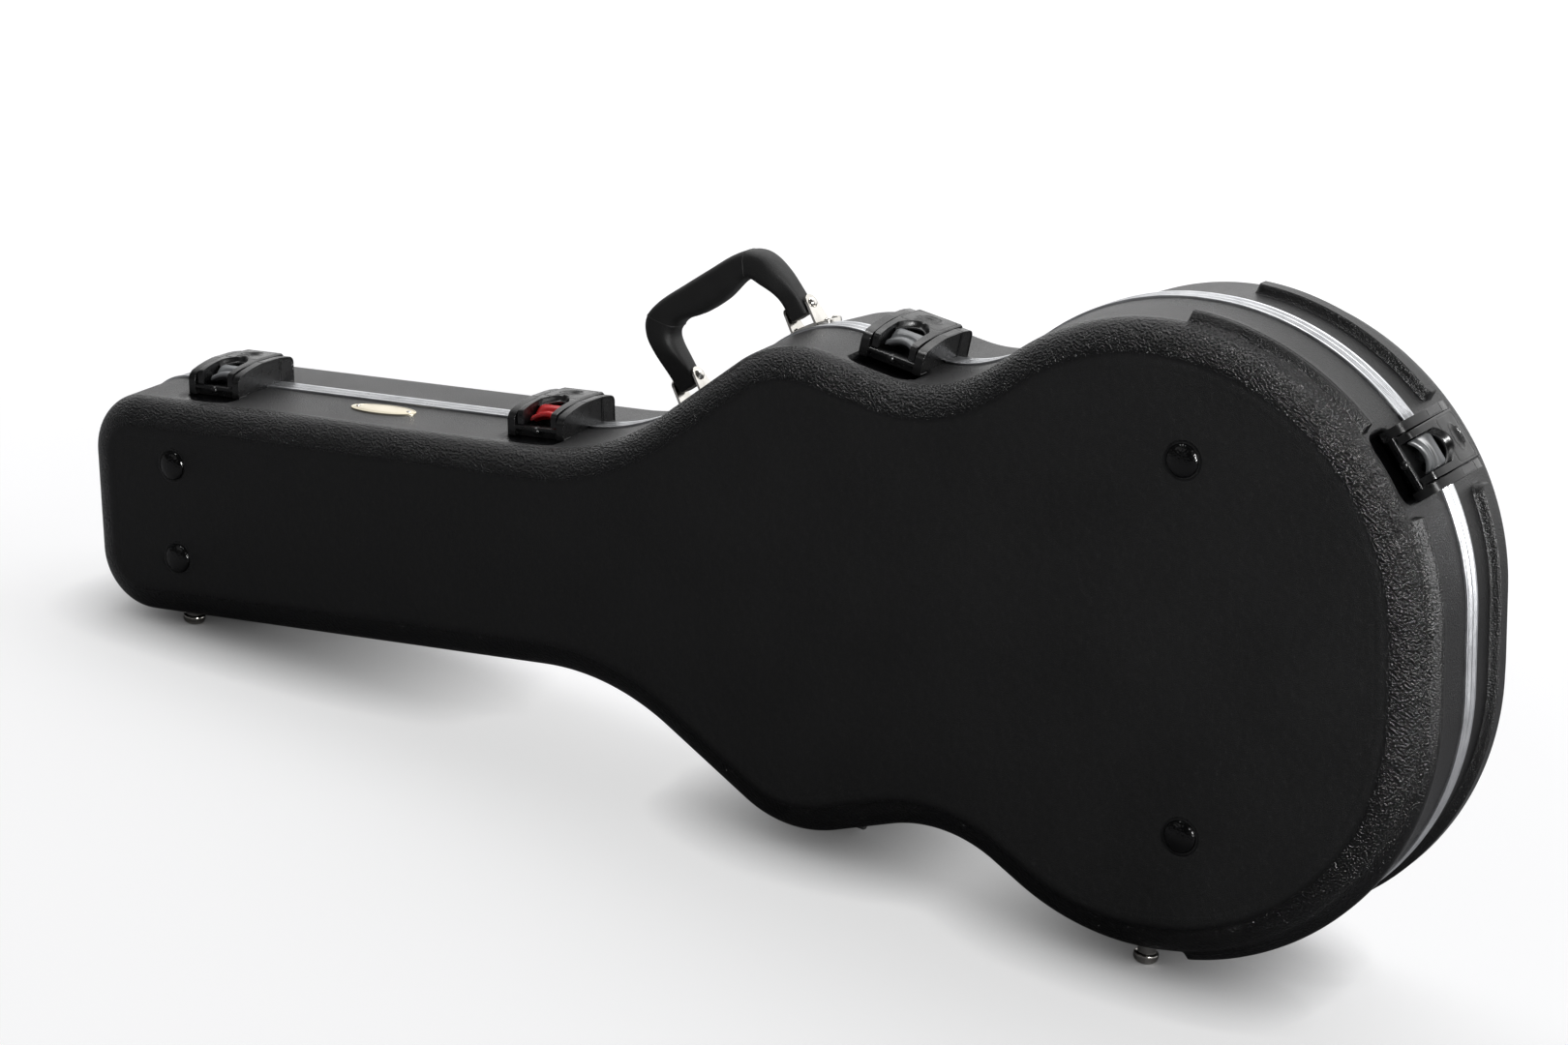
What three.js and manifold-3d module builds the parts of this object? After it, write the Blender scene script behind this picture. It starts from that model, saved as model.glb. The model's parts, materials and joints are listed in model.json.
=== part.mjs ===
// A moulded hard-shell guitar case, standing on its long edge on four glides.
//
// Case frame used while modelling: X runs along the case from the head end to the butt,
// Y runs through its thickness (lid on the -Y side, base on the +Y side, parting plane at
// Y = 0) and Z runs across it towards the handle. The finished case frame is tilted about Y
// so that the glides stand on one level surface.
import * as THREE from 'three';
import { mergeVertices } from 'three/addons/utils/BufferGeometryUtils.js';
import Module from 'manifold-3d';

const wasm = await Module();
wasm.setup();

// ---------------------------------------------------------------- driving dimensions, mm
const LENGTH = 1120;
const TILT = THREE.MathUtils.degToRad(9.2);
const GAP = 0.3;

// Turns of one half of the plan outline: distance from the head end, half width, radius.
const TURNS = [
  [0, 91.6, 51.8],
  [487, 86.4, 182],
  [635, 187.6, 93],
  [764.7, 153.7, 97],
  [870.8, 225.4, 181],
  [964.7, 219.2, 183],
  [LENGTH, 162.5, 198],
];
const ARC_STEP = THREE.MathUtils.degToRad(14);

const LID_DEPTH = 82;
const BASE_DEPTH = 94;
const SHELL_WALL = 3;
const DRAFT = 2.9;
const FILLET_IN = 28.6;
const FILLET_DEEP = 20;
const BAND_HALF = 9;
const BAND_PROUD = 1.5;
const BAND_WALL = 6.8;
const LINING = 5;
const LINING_START = 16.6;

const DOME_RADIUS = 11.5;
const DOME_HEIGHT = 4.5;
const DOMES = [[93, 37], [951, 128]];

const GLIDE_RADIUS = 8.75;
const GLIDE_SIDE = 45;
const GLIDES = { head: 88, bout: 934 };
const FLOOR = -87.4;

const HINGE_LEVEL = -83;
const HINGES = [[112, 30], [658, 50], [921, 50]];
const KNUCKLE_RADIUS = 2.9;
const HINGE_PIN_RADIUS = 1.3;
const LEAF_REACH = 22;
const LEAF_THICK = 2.5;

// Latch sites: distance from the head end, slope of the rim there in degrees, trigger colour.
const LATCHES = [
  [106.6, -0.6, 'grey'],
  [411.8, -0.6, 'red'],
  [712.5, -14.0, 'grey'],
  [1087.3, -55.6, 'grey'],
];
const LATCH_HALF = 25;
const RAIL_INSIDE = 18.5;
const LATCH_NEAR = -44;
const LATCH_SPLIT = 8;
const LATCH_FAR = 24;
const COVER_HALF = 18;
const COVER_HALF_NEAR = 15.8;
const COVER_NEAR = -42;
const COVER_TAPER_START = -8;
const PIN_Y = 15;
const PIN_Z = 12.5;
const LATCH_PIN_RADIUS = 1.5;
const TAIL_RADIUS = 8.5;
const LOCK_RADIUS = 6.2;
const LOCK_Y = 4;
const MOUTH_HALF = 12.4;
const MOUTH_SIDE = -22;
const MOUTH_DEEP = -9;
const TRIGGER_HALF = 11.6;
const TRIGGER_BACK = -15;
const TRIGGER_TRAVEL = 4;
const SPRING_SEAT = -4.8;

const HANDLE_CENTRE = [559.4, 12, 154.2];
const HANDLE_SLOPE = THREE.MathUtils.degToRad(32.1);
const GRIP_HALF = 66;
const GRIP_LEG_INSIDE = 48.5;
const GRIP_TOP = 60;
const GRIP_UNDERSIDE = 36;
const GRIP_BOTTOM = -5;
const GRIP_THICK = 12.5;
const RIVET_RADIUS = 2.5;

const PLATE_CENTRE = [260, -28.5];
const PLATE_SIZE = [60, 22];

const CRADLE = [190, 245];
const CRADLE_TOP = 24;
const CRADLE_NOTCH = 34;
const CRADLE_SIDE = 42;
const BOX = [290, 380];
const BOX_HALF = 66;
const BOX_TOP = 30;
const BOX_WALL = 3;
const FLAP_THICK = 3;

// ---------------------------------------------------------------- materials
const finish = (color, roughness, metalness) =>
  new THREE.MeshStandardMaterial({ color, roughness, metalness });
const SHELL = finish(0x17181a, 0.45, 0);
const ALUMINIUM = finish(0xb9bcc0, 0.35, 1);
const NICKEL = finish(0xc9c6be, 0.25, 1);
const STEEL = finish(0x9a9b9e, 0.35, 1);
const LATCH_BLACK = finish(0x101011, 0.3, 0);
const GRIP_BLACK = finish(0x141414, 0.6, 0);
const PLUSH = finish(0x1c1c1f, 1, 0);
const PLATE = finish(0xc8c0ac, 0.35, 1);
const TRIGGER_COLOURS = {
  grey: finish(0x8d9093, 0.4, 0),
  red: finish(0xc4161c, 0.35, 0),
};

// ---------------------------------------------------------------- solids and booleans
function toSolid(geometry) {
  const bare = geometry.clone();
  bare.deleteAttribute('normal');
  bare.deleteAttribute('uv');
  const merged = mergeVertices(bare, 1e-4);
  return new wasm.Manifold(new wasm.Mesh({
    numProp: 3,
    vertProperties: new Float32Array(merged.attributes.position.array),
    triVerts: new Uint32Array(merged.index.array),
  }));
}

function toGeometry(solid) {
  const mesh = solid.getMesh();
  const geometry = new THREE.BufferGeometry();
  geometry.setAttribute('position', new THREE.BufferAttribute(mesh.vertProperties, 3));
  geometry.setIndex(new THREE.BufferAttribute(mesh.triVerts, 1));
  geometry.computeVertexNormals();
  return geometry;
}

function union(...solids) {
  return solids.reduce((sum, solid) => sum.add(solid));
}

function block(x0, x1, y0, y1, z0, z1) {
  const box = new THREE.BoxGeometry(x1 - x0, y1 - y0, z1 - z0);
  return toSolid(box.translate((x0 + x1) / 2, (y0 + y1) / 2, (z0 + z1) / 2));
}

function shapeOf(points) {
  return new THREE.Shape(points.map(([a, b]) => new THREE.Vector2(a, b)));
}

function extrude(shape, depth, basis) {
  const geometry = new THREE.ExtrudeGeometry(shape, { depth, bevelEnabled: false, curveSegments: 5 });
  return toSolid(geometry.applyMatrix4(basis));
}

// A profile drawn in Y and Z, extruded from x0 to x1.
function alongX(points, x0, x1) {
  const basis = new THREE.Matrix4().set(0, 0, 1, x0, 1, 0, 0, 0, 0, 1, 0, 0, 0, 0, 0, 1);
  return extrude(shapeOf(points), x1 - x0, basis);
}

// A profile drawn in X and Z, extruded from y0 to y1.
function alongY(shape, y0, y1) {
  const basis = new THREE.Matrix4().set(1, 0, 0, 0, 0, 0, -1, y1, 0, 1, 0, 0, 0, 0, 0, 1);
  return extrude(shape, y1 - y0, basis);
}

// A profile drawn in X and Y, extruded from z0 to z1.
function alongZ(shape, z0, z1) {
  return extrude(shape, z1 - z0, new THREE.Matrix4().makeTranslation(0, 0, z0));
}

function rodX(radius, x0, x1, y, z, sides = 12) {
  const rod = new THREE.CylinderGeometry(radius, radius, x1 - x0, sides);
  return toSolid(rod.rotateZ(-Math.PI / 2).translate((x0 + x1) / 2, y, z));
}

function rodZ(radius, x, y, z0, z1, sides = 20) {
  const rod = new THREE.CylinderGeometry(radius, radius, z1 - z0, sides);
  return toSolid(rod.rotateX(Math.PI / 2).translate(x, y, (z0 + z1) / 2));
}

// ---------------------------------------------------------------- plan outline
// Points of one half outline with their outward normals. Straight runs join arcs.
function halfOutline() {
  const stops = [[0, 0, 0], ...TURNS, [LENGTH, 0, 0]];
  const corners = stops.map(([x, z]) => new THREE.Vector2(x, z));
  const points = [];
  for (let i = 1; i < stops.length - 1; i++) {
    const radius = stops[i][2];
    const inward = corners[i].clone().sub(corners[i - 1]).normalize();
    const outward = corners[i + 1].clone().sub(corners[i]).normalize();
    const turn = Math.atan2(inward.cross(outward), inward.dot(outward));
    const reach = radius * Math.tan(Math.abs(turn) / 2);
    const side = Math.sign(turn);
    const start = corners[i].clone().addScaledVector(inward, -reach);
    const toCentre = new THREE.Vector2(-inward.y, inward.x).multiplyScalar(side);
    const centre = start.clone().addScaledVector(toCentre, radius);
    const steps = Math.max(1, Math.round(Math.abs(turn) / ARC_STEP));
    for (let k = 0; k <= steps; k++) {
      const arm = toCentre.clone().negate().rotateAround(new THREE.Vector2(), (turn * k) / steps);
      const at = centre.clone().addScaledVector(arm, radius);
      points.push({ at, normal: arm.multiplyScalar(-side) });
    }
  }
  return points;
}

const HALF = halfOutline();
const MIRRORED = [...HALF].reverse().map(({ at, normal }) => ({
  at: new THREE.Vector2(at.x, -at.y),
  normal: new THREE.Vector2(normal.x, -normal.y),
}));
const OUTLINE = [...HALF, ...MIRRORED];

// The outline moved inwards by inset, at a thickness y.
function ring(inset, y) {
  return OUTLINE.map(({ at, normal }) => {
    const moved = at.clone().addScaledVector(normal, -inset);
    return new THREE.Vector3(moved.x, y, moved.y);
  });
}

function heightAt(x) {
  const next = HALF.findIndex(({ at }) => at.x >= x);
  const a = HALF[next - 1].at;
  const b = HALF[next].at;
  return THREE.MathUtils.mapLinear(x, a.x, b.x, a.y, b.y);
}

// A closed body through a stack of rings, with flat ends.
function loft(rings) {
  const count = rings[0].length;
  const index = [];
  for (let r = 0; r < rings.length - 1; r++) {
    for (let k = 0; k < count; k++) {
      const a = r * count + k;
      const b = r * count + ((k + 1) % count);
      index.push(a, b, a + count, b, b + count, a + count);
    }
  }
  const plan = rings[0].map((p) => new THREE.Vector2(p.x, p.z));
  const last = (rings.length - 1) * count;
  for (const [a, b, c] of THREE.ShapeUtils.triangulateShape(plan, [])) {
    index.push(a, b, c);
    index.push(last + a, last + c, last + b);
  }
  return closedBody(rings.flat(), index);
}

// A closed hoop that carries one section round the outline. Section points are [inset, y].
function hoop(section) {
  const rings = section.map(([inset, y]) => ring(inset, y));
  const count = OUTLINE.length;
  const index = [];
  for (let r = 0; r < rings.length; r++) {
    const next = (r + 1) % rings.length;
    for (let k = 0; k < count; k++) {
      const a = r * count + k;
      const b = r * count + ((k + 1) % count);
      const c = next * count + k;
      const d = next * count + ((k + 1) % count);
      index.push(a, b, c, b, d, c);
    }
  }
  return closedBody(rings.flat(), index);
}

// Builds the body either way round and keeps the one whose faces point outwards.
function closedBody(points, index) {
  const geometry = new THREE.BufferGeometry().setFromPoints(points);
  geometry.setIndex(index);
  const solid = toSolid(geometry);
  if (solid.volume() > 0) {
    return solid;
  }
  const flipped = [];
  for (let i = 0; i < index.length; i += 3) {
    flipped.push(index[i], index[i + 2], index[i + 1]);
  }
  geometry.setIndex(flipped);
  return toSolid(geometry);
}

// ---------------------------------------------------------------- shell surfaces
// side is -1 for the lid and 1 for the base. grow is the distance outside the moulded surface.
function moulded(side, grow, start, steps) {
  const depth = side < 0 ? LID_DEPTH : BASE_DEPTH;
  const fillet = depth - FILLET_DEEP;
  const drawn = THREE.MathUtils.mapLinear(start, BAND_HALF, fillet, 0, DRAFT);
  const rings = [ring(BAND_PROUD + drawn - grow, side * start)];
  rings.push(ring(BAND_PROUD + DRAFT - grow, side * fillet));
  for (let k = 1; k <= steps; k++) {
    const angle = (Math.PI / 2) * (k / steps);
    const inset = BAND_PROUD + DRAFT + FILLET_IN - (FILLET_IN + grow) * Math.cos(angle);
    rings.push(ring(inset, side * (fillet + (FILLET_DEEP + grow) * Math.sin(angle))));
  }
  return loft(rings);
}

// Both halves with their bands, grown by a clearance, as one cutting body.
function envelope(grow) {
  const halves = [-1, 1].map((side) => moulded(side, grow, 1, 4));
  const reach = BAND_HALF + GAP + grow;
  return union(...halves, loft([ring(-grow, -reach), ring(-grow, reach)]));
}

const TOUCHING = envelope(GAP);
const CLEAR = envelope(0.8);
const LEAF_SKIN = envelope(GAP + LEAF_THICK);
const STRAP_SKIN = envelope(GAP + 2);
const PLATE_SKIN = envelope(GAP + 1.2);

function bumpers(side) {
  const [deep, wide] = side < 0 ? [60, 15] : [46, 15];
  const y0 = Math.min(side * (deep - wide / 2), side * (deep + wide / 2));
  const strip = loft([ring(-4, y0), ring(-4, y0 + wide)]);
  const upper = strip.intersect(block(945, 1070, y0 - 1, y0 + wide + 1, 100, 300));
  const lower = strip.intersect(block(945, LENGTH + 3, y0 - 1, y0 + wide + 1, -300, 103));
  const core = loft([ring(12, y0), ring(12, y0 + wide)]);
  return [upper, lower].map((rib) => rib.subtract(core));
}

function dome(side, x, z) {
  const sphere = (DOME_RADIUS ** 2 + DOME_HEIGHT ** 2) / (2 * DOME_HEIGHT);
  const profile = [new THREE.Vector2(0, -1), new THREE.Vector2(DOME_RADIUS, -1)];
  for (let k = 0; k <= 3; k++) {
    const radius = DOME_RADIUS * (1 - k / 3);
    const height = Math.sqrt(sphere ** 2 - radius ** 2) - (sphere - DOME_HEIGHT);
    profile.push(new THREE.Vector2(radius, height));
  }
  const lathe = new THREE.LatheGeometry(profile, 16);
  lathe.rotateX(side < 0 ? Math.PI : 0);
  const depth = side < 0 ? -LID_DEPTH : BASE_DEPTH;
  return toSolid(lathe.translate(x, depth, z));
}

function shell(side) {
  const outer = moulded(side, 0, BAND_HALF + GAP, 4);
  const inner = moulded(side, -SHELL_WALL, BAND_HALF - 1, 2);
  const domes = DOMES.flatMap(([x, z]) => [dome(side, x, z), dome(side, x, -z)]);
  return union(outer, ...bumpers(side), ...domes).subtract(inner);
}

function lining(side) {
  const outer = moulded(side, -SHELL_WALL - GAP, LINING_START, 2);
  return outer.subtract(moulded(side, -SHELL_WALL - GAP - LINING, LINING_START - 1, 2));
}

// Aluminium band with an inner leg that laps the shell; a low tongue on the lid's band
// enters a groove in the base's band.
function band(side) {
  const face = GAP / 2;
  const lip = side < 0 ? -1.2 : 1.8;
  const [t0, t1] = side < 0 ? [2.6, 3.4] : [1.9, 4.1];
  const leg = BAND_WALL - 1.5;
  const section = [
    [0, BAND_HALF], [0, face], [t0, face], [t0, lip], [t1, lip], [t1, face],
    [BAND_WALL, face], [BAND_WALL, 16], [leg, 16], [leg, BAND_HALF],
  ];
  return hoop(section.map(([inset, y]) => [inset, side * y]));
}

// ---------------------------------------------------------------- the assembly
const guitarCase = new THREE.Group();
const caseFrame = new THREE.Group();
caseFrame.rotation.y = -TILT;
guitarCase.add(caseFrame);

function add(parent, name, solid, material) {
  const mesh = new THREE.Mesh(toGeometry(solid), material);
  mesh.name = name;
  parent.add(mesh);
  return mesh;
}

// Turns a body modelled level with the floor into the case frame.
const LEVEL_TO_CASE = new THREE.Matrix4().makeRotationY(TILT);
function fromLevel(solid) {
  return solid.transform(LEVEL_TO_CASE.elements);
}

add(caseFrame, 'base_shell', shell(1), SHELL);
add(caseFrame, 'lid_shell', shell(-1), SHELL);
add(caseFrame, 'base_valance', band(1), ALUMINIUM);
add(caseFrame, 'lid_valance', band(-1), ALUMINIUM);
add(caseFrame, 'base_lining', lining(1), PLUSH);
add(caseFrame, 'lid_lining', lining(-1), PLUSH);

// ---------------------------------------------------------------- glides
function glide(x, y) {
  const profile = [
    [0, 0], [5.5, 0.4], [8, 1.8], [GLIDE_RADIUS, 3.6], [GLIDE_RADIUS, 7], [6.4, 8], [6.4, 20], [0, 20],
  ];
  const lathe = new THREE.LatheGeometry(profile.map(([r, h]) => new THREE.Vector2(r, h)), 16);
  return toSolid(lathe.rotateX(Math.PI / 2).translate(x, y, FLOOR));
}

for (const [end, x] of Object.entries(GLIDES)) {
  for (const [half, side] of [['lid', -1], ['base', 1]]) {
    const body = fromLevel(glide(x, side * GLIDE_SIDE)).subtract(TOUCHING);
    add(caseFrame, `${half}_glide_${end}`, body, NICKEL);
  }
}

// ---------------------------------------------------------------- hinges
// The level hinge line clears the lowest point of the rim, so each leaf has a short riser.
function leaf(site, length, side, knuckles) {
  const x0 = site - length / 2;
  const span = (a, b) => [Math.min(side * a, side * b), Math.max(side * a, side * b)];
  const plate = block(x0, x0 + length, ...span(0.5, LEAF_REACH), -90, -60);
  let body = fromLevel(plate).intersect(LEAF_SKIN);
  for (const [a, b] of knuckles) {
    const riser = block(x0 + a, x0 + b, ...span(0.5, 3), HINGE_LEVEL, -68);
    const barrel = rodX(KNUCKLE_RADIUS, x0 + a, x0 + b, 0, HINGE_LEVEL);
    body = union(body, fromLevel(riser), fromLevel(barrel));
  }
  const bore = rodX(HINGE_PIN_RADIUS + GAP, x0 - 5, x0 + length + 5, 0, HINGE_LEVEL);
  return body.subtract(TOUCHING).subtract(fromLevel(bore));
}

HINGES.forEach(([site, length], i) => {
  const name = `hinge_${i + 1}`;
  const third = length / 3;
  const outer = [[0, third - GAP], [2 * third + GAP, length]];
  add(caseFrame, `${name}_base_leaf`, leaf(site, length, 1, outer), STEEL);
  add(caseFrame, `${name}_lid_leaf`, leaf(site, length, -1, [[third, 2 * third]]), STEEL);
  const half = length / 2;
  const shank = rodX(HINGE_PIN_RADIUS, site - half - 1, site + half + 1, 0, HINGE_LEVEL);
  const heads = [-1, 1].map((end) => {
    const at = site + end * (half + 1);
    return rodX(2.2, Math.min(at, at - end * 0.7), Math.max(at, at - end * 0.7), 0, HINGE_LEVEL);
  });
  add(caseFrame, `${name}_pin`, fromLevel(union(shank, ...heads)), NICKEL);
});

// ---------------------------------------------------------------- latches
// Latch frame: X along the rim, Y through the thickness, Z outwards from the rim.
function catchFrame(shellHere, clearHere) {
  const rail = [
    [LATCH_NEAR, -9], [LATCH_NEAR, 8.5], [-42, 12], [-38, 14.2], [-22, 17.6], [-6, 19.4],
    [LATCH_SPLIT, 19.2], [LATCH_SPLIT, -9],
  ];
  const left = alongX(rail, -LATCH_HALF, -RAIL_INSIDE);
  const right = alongX(rail, RAIL_INSIDE, LATCH_HALF);
  const bar = block(-LATCH_HALF, LATCH_HALF, LATCH_NEAR, -38, -9, 3.4);
  const plate = block(-LATCH_HALF, LATCH_HALF, -40, -1, -9, 1.6);
  const overhang = clearHere.intersect(block(-40, 40, -0.8, 20, -20, 20));
  return union(left, right, bar, plate).subtract(shellHere).subtract(overhang);
}

function hingeBlock(shellHere) {
  const start = LATCH_SPLIT + GAP;
  const cap = [
    [start, -9], [start, 19.2], [14, 18.6], [19, 16.8], [22.5, 13.4], [LATCH_FAR, 9], [LATCH_FAR, -9],
  ];
  const left = alongX(cap, -LATCH_HALF, -RAIL_INSIDE);
  const right = alongX(cap, RAIL_INSIDE, LATCH_HALF);
  const plate = block(-LATCH_HALF, LATCH_HALF, start, LATCH_FAR, -9, 3);
  const tongue = block(-17.5, 17.5, 2, start + 1, -9, 2.6);
  const bore = rodX(LATCH_PIN_RADIUS + GAP, -30, 30, PIN_Y, PIN_Z);
  return union(left, right, plate, tongue).subtract(shellHere).subtract(bore);
}

// The cover is a hollow plate with an arched mouth at its near edge, where the trigger shows.
function cover() {
  const outer = [
    [COVER_NEAR, 4], [COVER_NEAR, 11.5], [-40, 14.4], [-30, 17], [-15, 19.2], [-2, 20], [10, 19.5],
  ];
  for (let k = 0; k <= 5; k++) {
    const angle = THREE.MathUtils.degToRad(62 - k * 30.4);
    outer.push([PIN_Y + TAIL_RADIUS * Math.cos(angle), PIN_Z + TAIL_RADIUS * Math.sin(angle)]);
  }
  const inner = [[-39.5, 2], [-39.5, 12], [-28, 14.6], [-13, 16.8], [0, 17.4], [6.8, 17], [6.8, 2]];
  const plan = shapeOf([
    [-COVER_HALF_NEAR, COVER_NEAR - 1], [COVER_HALF_NEAR, COVER_NEAR - 1],
    [COVER_HALF, COVER_TAPER_START], [COVER_HALF, 30], [-COVER_HALF, 30],
    [-COVER_HALF, COVER_TAPER_START],
  ]);
  const mouth = new THREE.Shape();
  mouth.moveTo(-MOUTH_HALF, COVER_NEAR - 2);
  mouth.lineTo(MOUTH_HALF, COVER_NEAR - 2);
  mouth.lineTo(MOUTH_HALF, MOUTH_SIDE);
  mouth.quadraticCurveTo(0, 2 * MOUTH_DEEP - MOUTH_SIDE, -MOUTH_HALF, MOUTH_SIDE);
  const rib = block(-6, 6, SPRING_SEAT, SPRING_SEAT + 1.4, 6, 18);
  const hollow = alongX(inner, -13.5, 13.5).subtract(rib);
  const bore = rodX(LATCH_PIN_RADIUS + GAP, -30, 30, PIN_Y, PIN_Z);
  return alongX(outer, -COVER_HALF, COVER_HALF)
    .intersect(alongZ(plan, 0, 30))
    .subtract(hollow)
    .subtract(alongZ(mouth, 0, 30))
    .subtract(bore)
    .subtract(rodZ(LOCK_RADIUS + GAP, 0, LOCK_Y, 7.6, 30));
}

// A hooked lever: a ramp down to a lip, with a scoop under the lip for the fingertip.
function trigger() {
  const profile = [
    [TRIGGER_BACK, 4.6], [TRIGGER_BACK, 13.2], [-18, 13.8], [-23, 13.2], [-28, 11.4], [-32.5, 9],
    [-34.5, 7.8], [-34.5, 6.4], [-31, 7.4], [-28, 6.6], [-26.5, 4.6],
  ];
  return alongX(profile, -TRIGGER_HALF, TRIGGER_HALF);
}

function triggerSpring() {
  const tip = TRIGGER_BACK + TRIGGER_TRAVEL + GAP;
  const seat = SPRING_SEAT - GAP;
  const vee = [[tip, 5], [tip + 0.5, 4.6], [seat, 8], [tip + 0.5, 11.4], [tip, 11], [seat - 1.2, 8]];
  return alongX(vee, -4, 4);
}

function lockCylinder() {
  const slot = block(-0.8, 0.8, LOCK_Y - 3.6, LOCK_Y + 3.6, 16, 25);
  return rodZ(LOCK_RADIUS, 0, LOCK_Y, 8, 19.4).subtract(slot);
}

LATCHES.forEach(([x, slope, colour], i) => {
  const name = `latch_${i + 1}`;
  const site = new THREE.Group();
  site.position.set(x, 0, heightAt(x));
  site.rotation.y = -THREE.MathUtils.degToRad(slope);
  site.updateMatrix();
  caseFrame.add(site);
  const toSite = site.matrix.clone().invert();
  const shellHere = TOUCHING.transform(toSite.elements);
  const clearHere = CLEAR.transform(toSite.elements);
  add(site, `${name}_catch_frame`, catchFrame(shellHere, clearHere), LATCH_BLACK);
  add(site, `${name}_hinge_block`, hingeBlock(shellHere), LATCH_BLACK);
  add(site, `${name}_pin`, rodX(LATCH_PIN_RADIUS, -24.5, 24.5, PIN_Y, PIN_Z), STEEL);
  add(site, `${name}_cover`, cover(), LATCH_BLACK);
  add(site, `${name}_trigger`, trigger(), TRIGGER_COLOURS[colour]);
  add(site, `${name}_trigger_spring`, triggerSpring(), STEEL);
  add(site, `${name}_lock_cylinder`, lockCylinder(), LATCH_BLACK);
});

// ---------------------------------------------------------------- carrying handle
// Handle frame: X along the pivot line, Z outwards.
const handle = new THREE.Group();
handle.position.set(...HANDLE_CENTRE);
handle.rotation.y = -HANDLE_SLOPE;
handle.updateMatrix();
caseFrame.add(handle);
const toHandle = handle.matrix.clone().invert();

function grip() {
  const outline = new THREE.Shape();
  outline.moveTo(-GRIP_HALF + 1, GRIP_BOTTOM);
  outline.lineTo(-GRIP_HALF, GRIP_UNDERSIDE);
  outline.quadraticCurveTo(-GRIP_HALF, GRIP_TOP, -44, GRIP_TOP);
  outline.lineTo(44, GRIP_TOP);
  outline.quadraticCurveTo(GRIP_HALF - 2, GRIP_TOP, GRIP_HALF - 1, GRIP_UNDERSIDE - 8);
  outline.lineTo(GRIP_HALF - 1, GRIP_BOTTOM);
  outline.lineTo(GRIP_LEG_INSIDE, GRIP_BOTTOM);
  outline.lineTo(GRIP_LEG_INSIDE, 12);
  outline.lineTo(GRIP_LEG_INSIDE - 6, GRIP_UNDERSIDE - 8);
  outline.quadraticCurveTo(GRIP_LEG_INSIDE - 8, GRIP_UNDERSIDE, 34, GRIP_UNDERSIDE);
  outline.lineTo(-42, GRIP_UNDERSIDE);
  outline.quadraticCurveTo(-GRIP_LEG_INSIDE, GRIP_UNDERSIDE, -GRIP_LEG_INSIDE, GRIP_UNDERSIDE - 10);
  outline.lineTo(-GRIP_LEG_INSIDE, GRIP_BOTTOM);
  const side = [
    [-8, GRIP_BOTTOM - 1], [8, GRIP_BOTTOM - 1], [8.6, 20], [GRIP_THICK, 38], [GRIP_THICK, 56],
    [8, GRIP_TOP + 1], [-8, GRIP_TOP + 1], [-GRIP_THICK, 56], [-GRIP_THICK, 38], [-8.6, 20],
  ];
  const bore = rodX(RIVET_RADIUS + GAP, -80, 80, 0, 0);
  return alongY(outline, -GRIP_THICK, GRIP_THICK)
    .intersect(alongX(side, -80, 80))
    .subtract(bore);
}

function bracket(end) {
  const span = (a, b) => [Math.min(end * a, end * b), Math.max(end * a, end * b)];
  const foot = block(...span(40, 82), -9, 13, -45, -4);
  const strap = STRAP_SKIN.transform(toHandle.elements).intersect(foot);
  const ear = [[-7, -30]];
  for (let k = 0; k <= 4; k++) {
    const angle = Math.PI - (Math.PI * k) / 4;
    ear.push([7 * Math.cos(angle), 7 * Math.sin(angle)]);
  }
  ear.push([7, -30]);
  const inside = alongX(ear, ...span(GRIP_LEG_INSIDE - 2.6, GRIP_LEG_INSIDE - 0.6));
  const outside = alongX(ear, ...span(GRIP_HALF + 0.6, GRIP_HALF + 2.6));
  const bore = rodX(RIVET_RADIUS + GAP, -90, 90, 0, 0);
  return union(strap, inside, outside)
    .subtract(TOUCHING.transform(toHandle.elements))
    .subtract(bore);
}

function rivet(end) {
  const span = (a, b) => [Math.min(end * a, end * b), Math.max(end * a, end * b)];
  const shank = rodX(RIVET_RADIUS, ...span(GRIP_LEG_INSIDE - 5, GRIP_HALF + 5), 0, 0);
  const inner = rodX(4, ...span(GRIP_LEG_INSIDE - 5, GRIP_LEG_INSIDE - 2.9), 0, 0);
  const outer = rodX(4, ...span(GRIP_HALF + 2.9, GRIP_HALF + 5), 0, 0);
  return union(shank, inner, outer);
}

add(handle, 'handle_grip', grip(), GRIP_BLACK);
for (const [label, end] of [['head', -1], ['bout', 1]]) {
  add(handle, `handle_bracket_${label}`, bracket(end), NICKEL);
  add(handle, `handle_rivet_${label}`, rivet(end), NICKEL);
}

// ---------------------------------------------------------------- nameplate
function nameplate() {
  const [x, y] = PLATE_CENTRE;
  const outline = new THREE.Shape();
  outline.absellipse(x, y, PLATE_SIZE[0] / 2, PLATE_SIZE[1] / 2, 0, 2 * Math.PI);
  return alongZ(outline, 60, 120).intersect(PLATE_SKIN).subtract(TOUCHING);
}
add(caseFrame, 'nameplate', nameplate(), PLATE);

// ---------------------------------------------------------------- inside
function cradle() {
  const [x0, x1] = CRADLE;
  const room = moulded(1, -SHELL_WALL - 2 * GAP - LINING, LINING_START, 2);
  const notch = [[CRADLE_TOP - 5, CRADLE_NOTCH], [CRADLE_TOP - 5, -CRADLE_NOTCH]];
  for (let k = 0; k <= 8; k++) {
    const angle = -Math.PI / 2 + (Math.PI * k) / 8;
    notch.push([CRADLE_SIDE + 20 * Math.cos(angle), CRADLE_NOTCH * Math.sin(angle)]);
  }
  return block(x0, x1, CRADLE_TOP, 92, -80, 80)
    .intersect(room)
    .subtract(alongX(notch, x0 - 1, x1 + 1));
}

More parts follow.
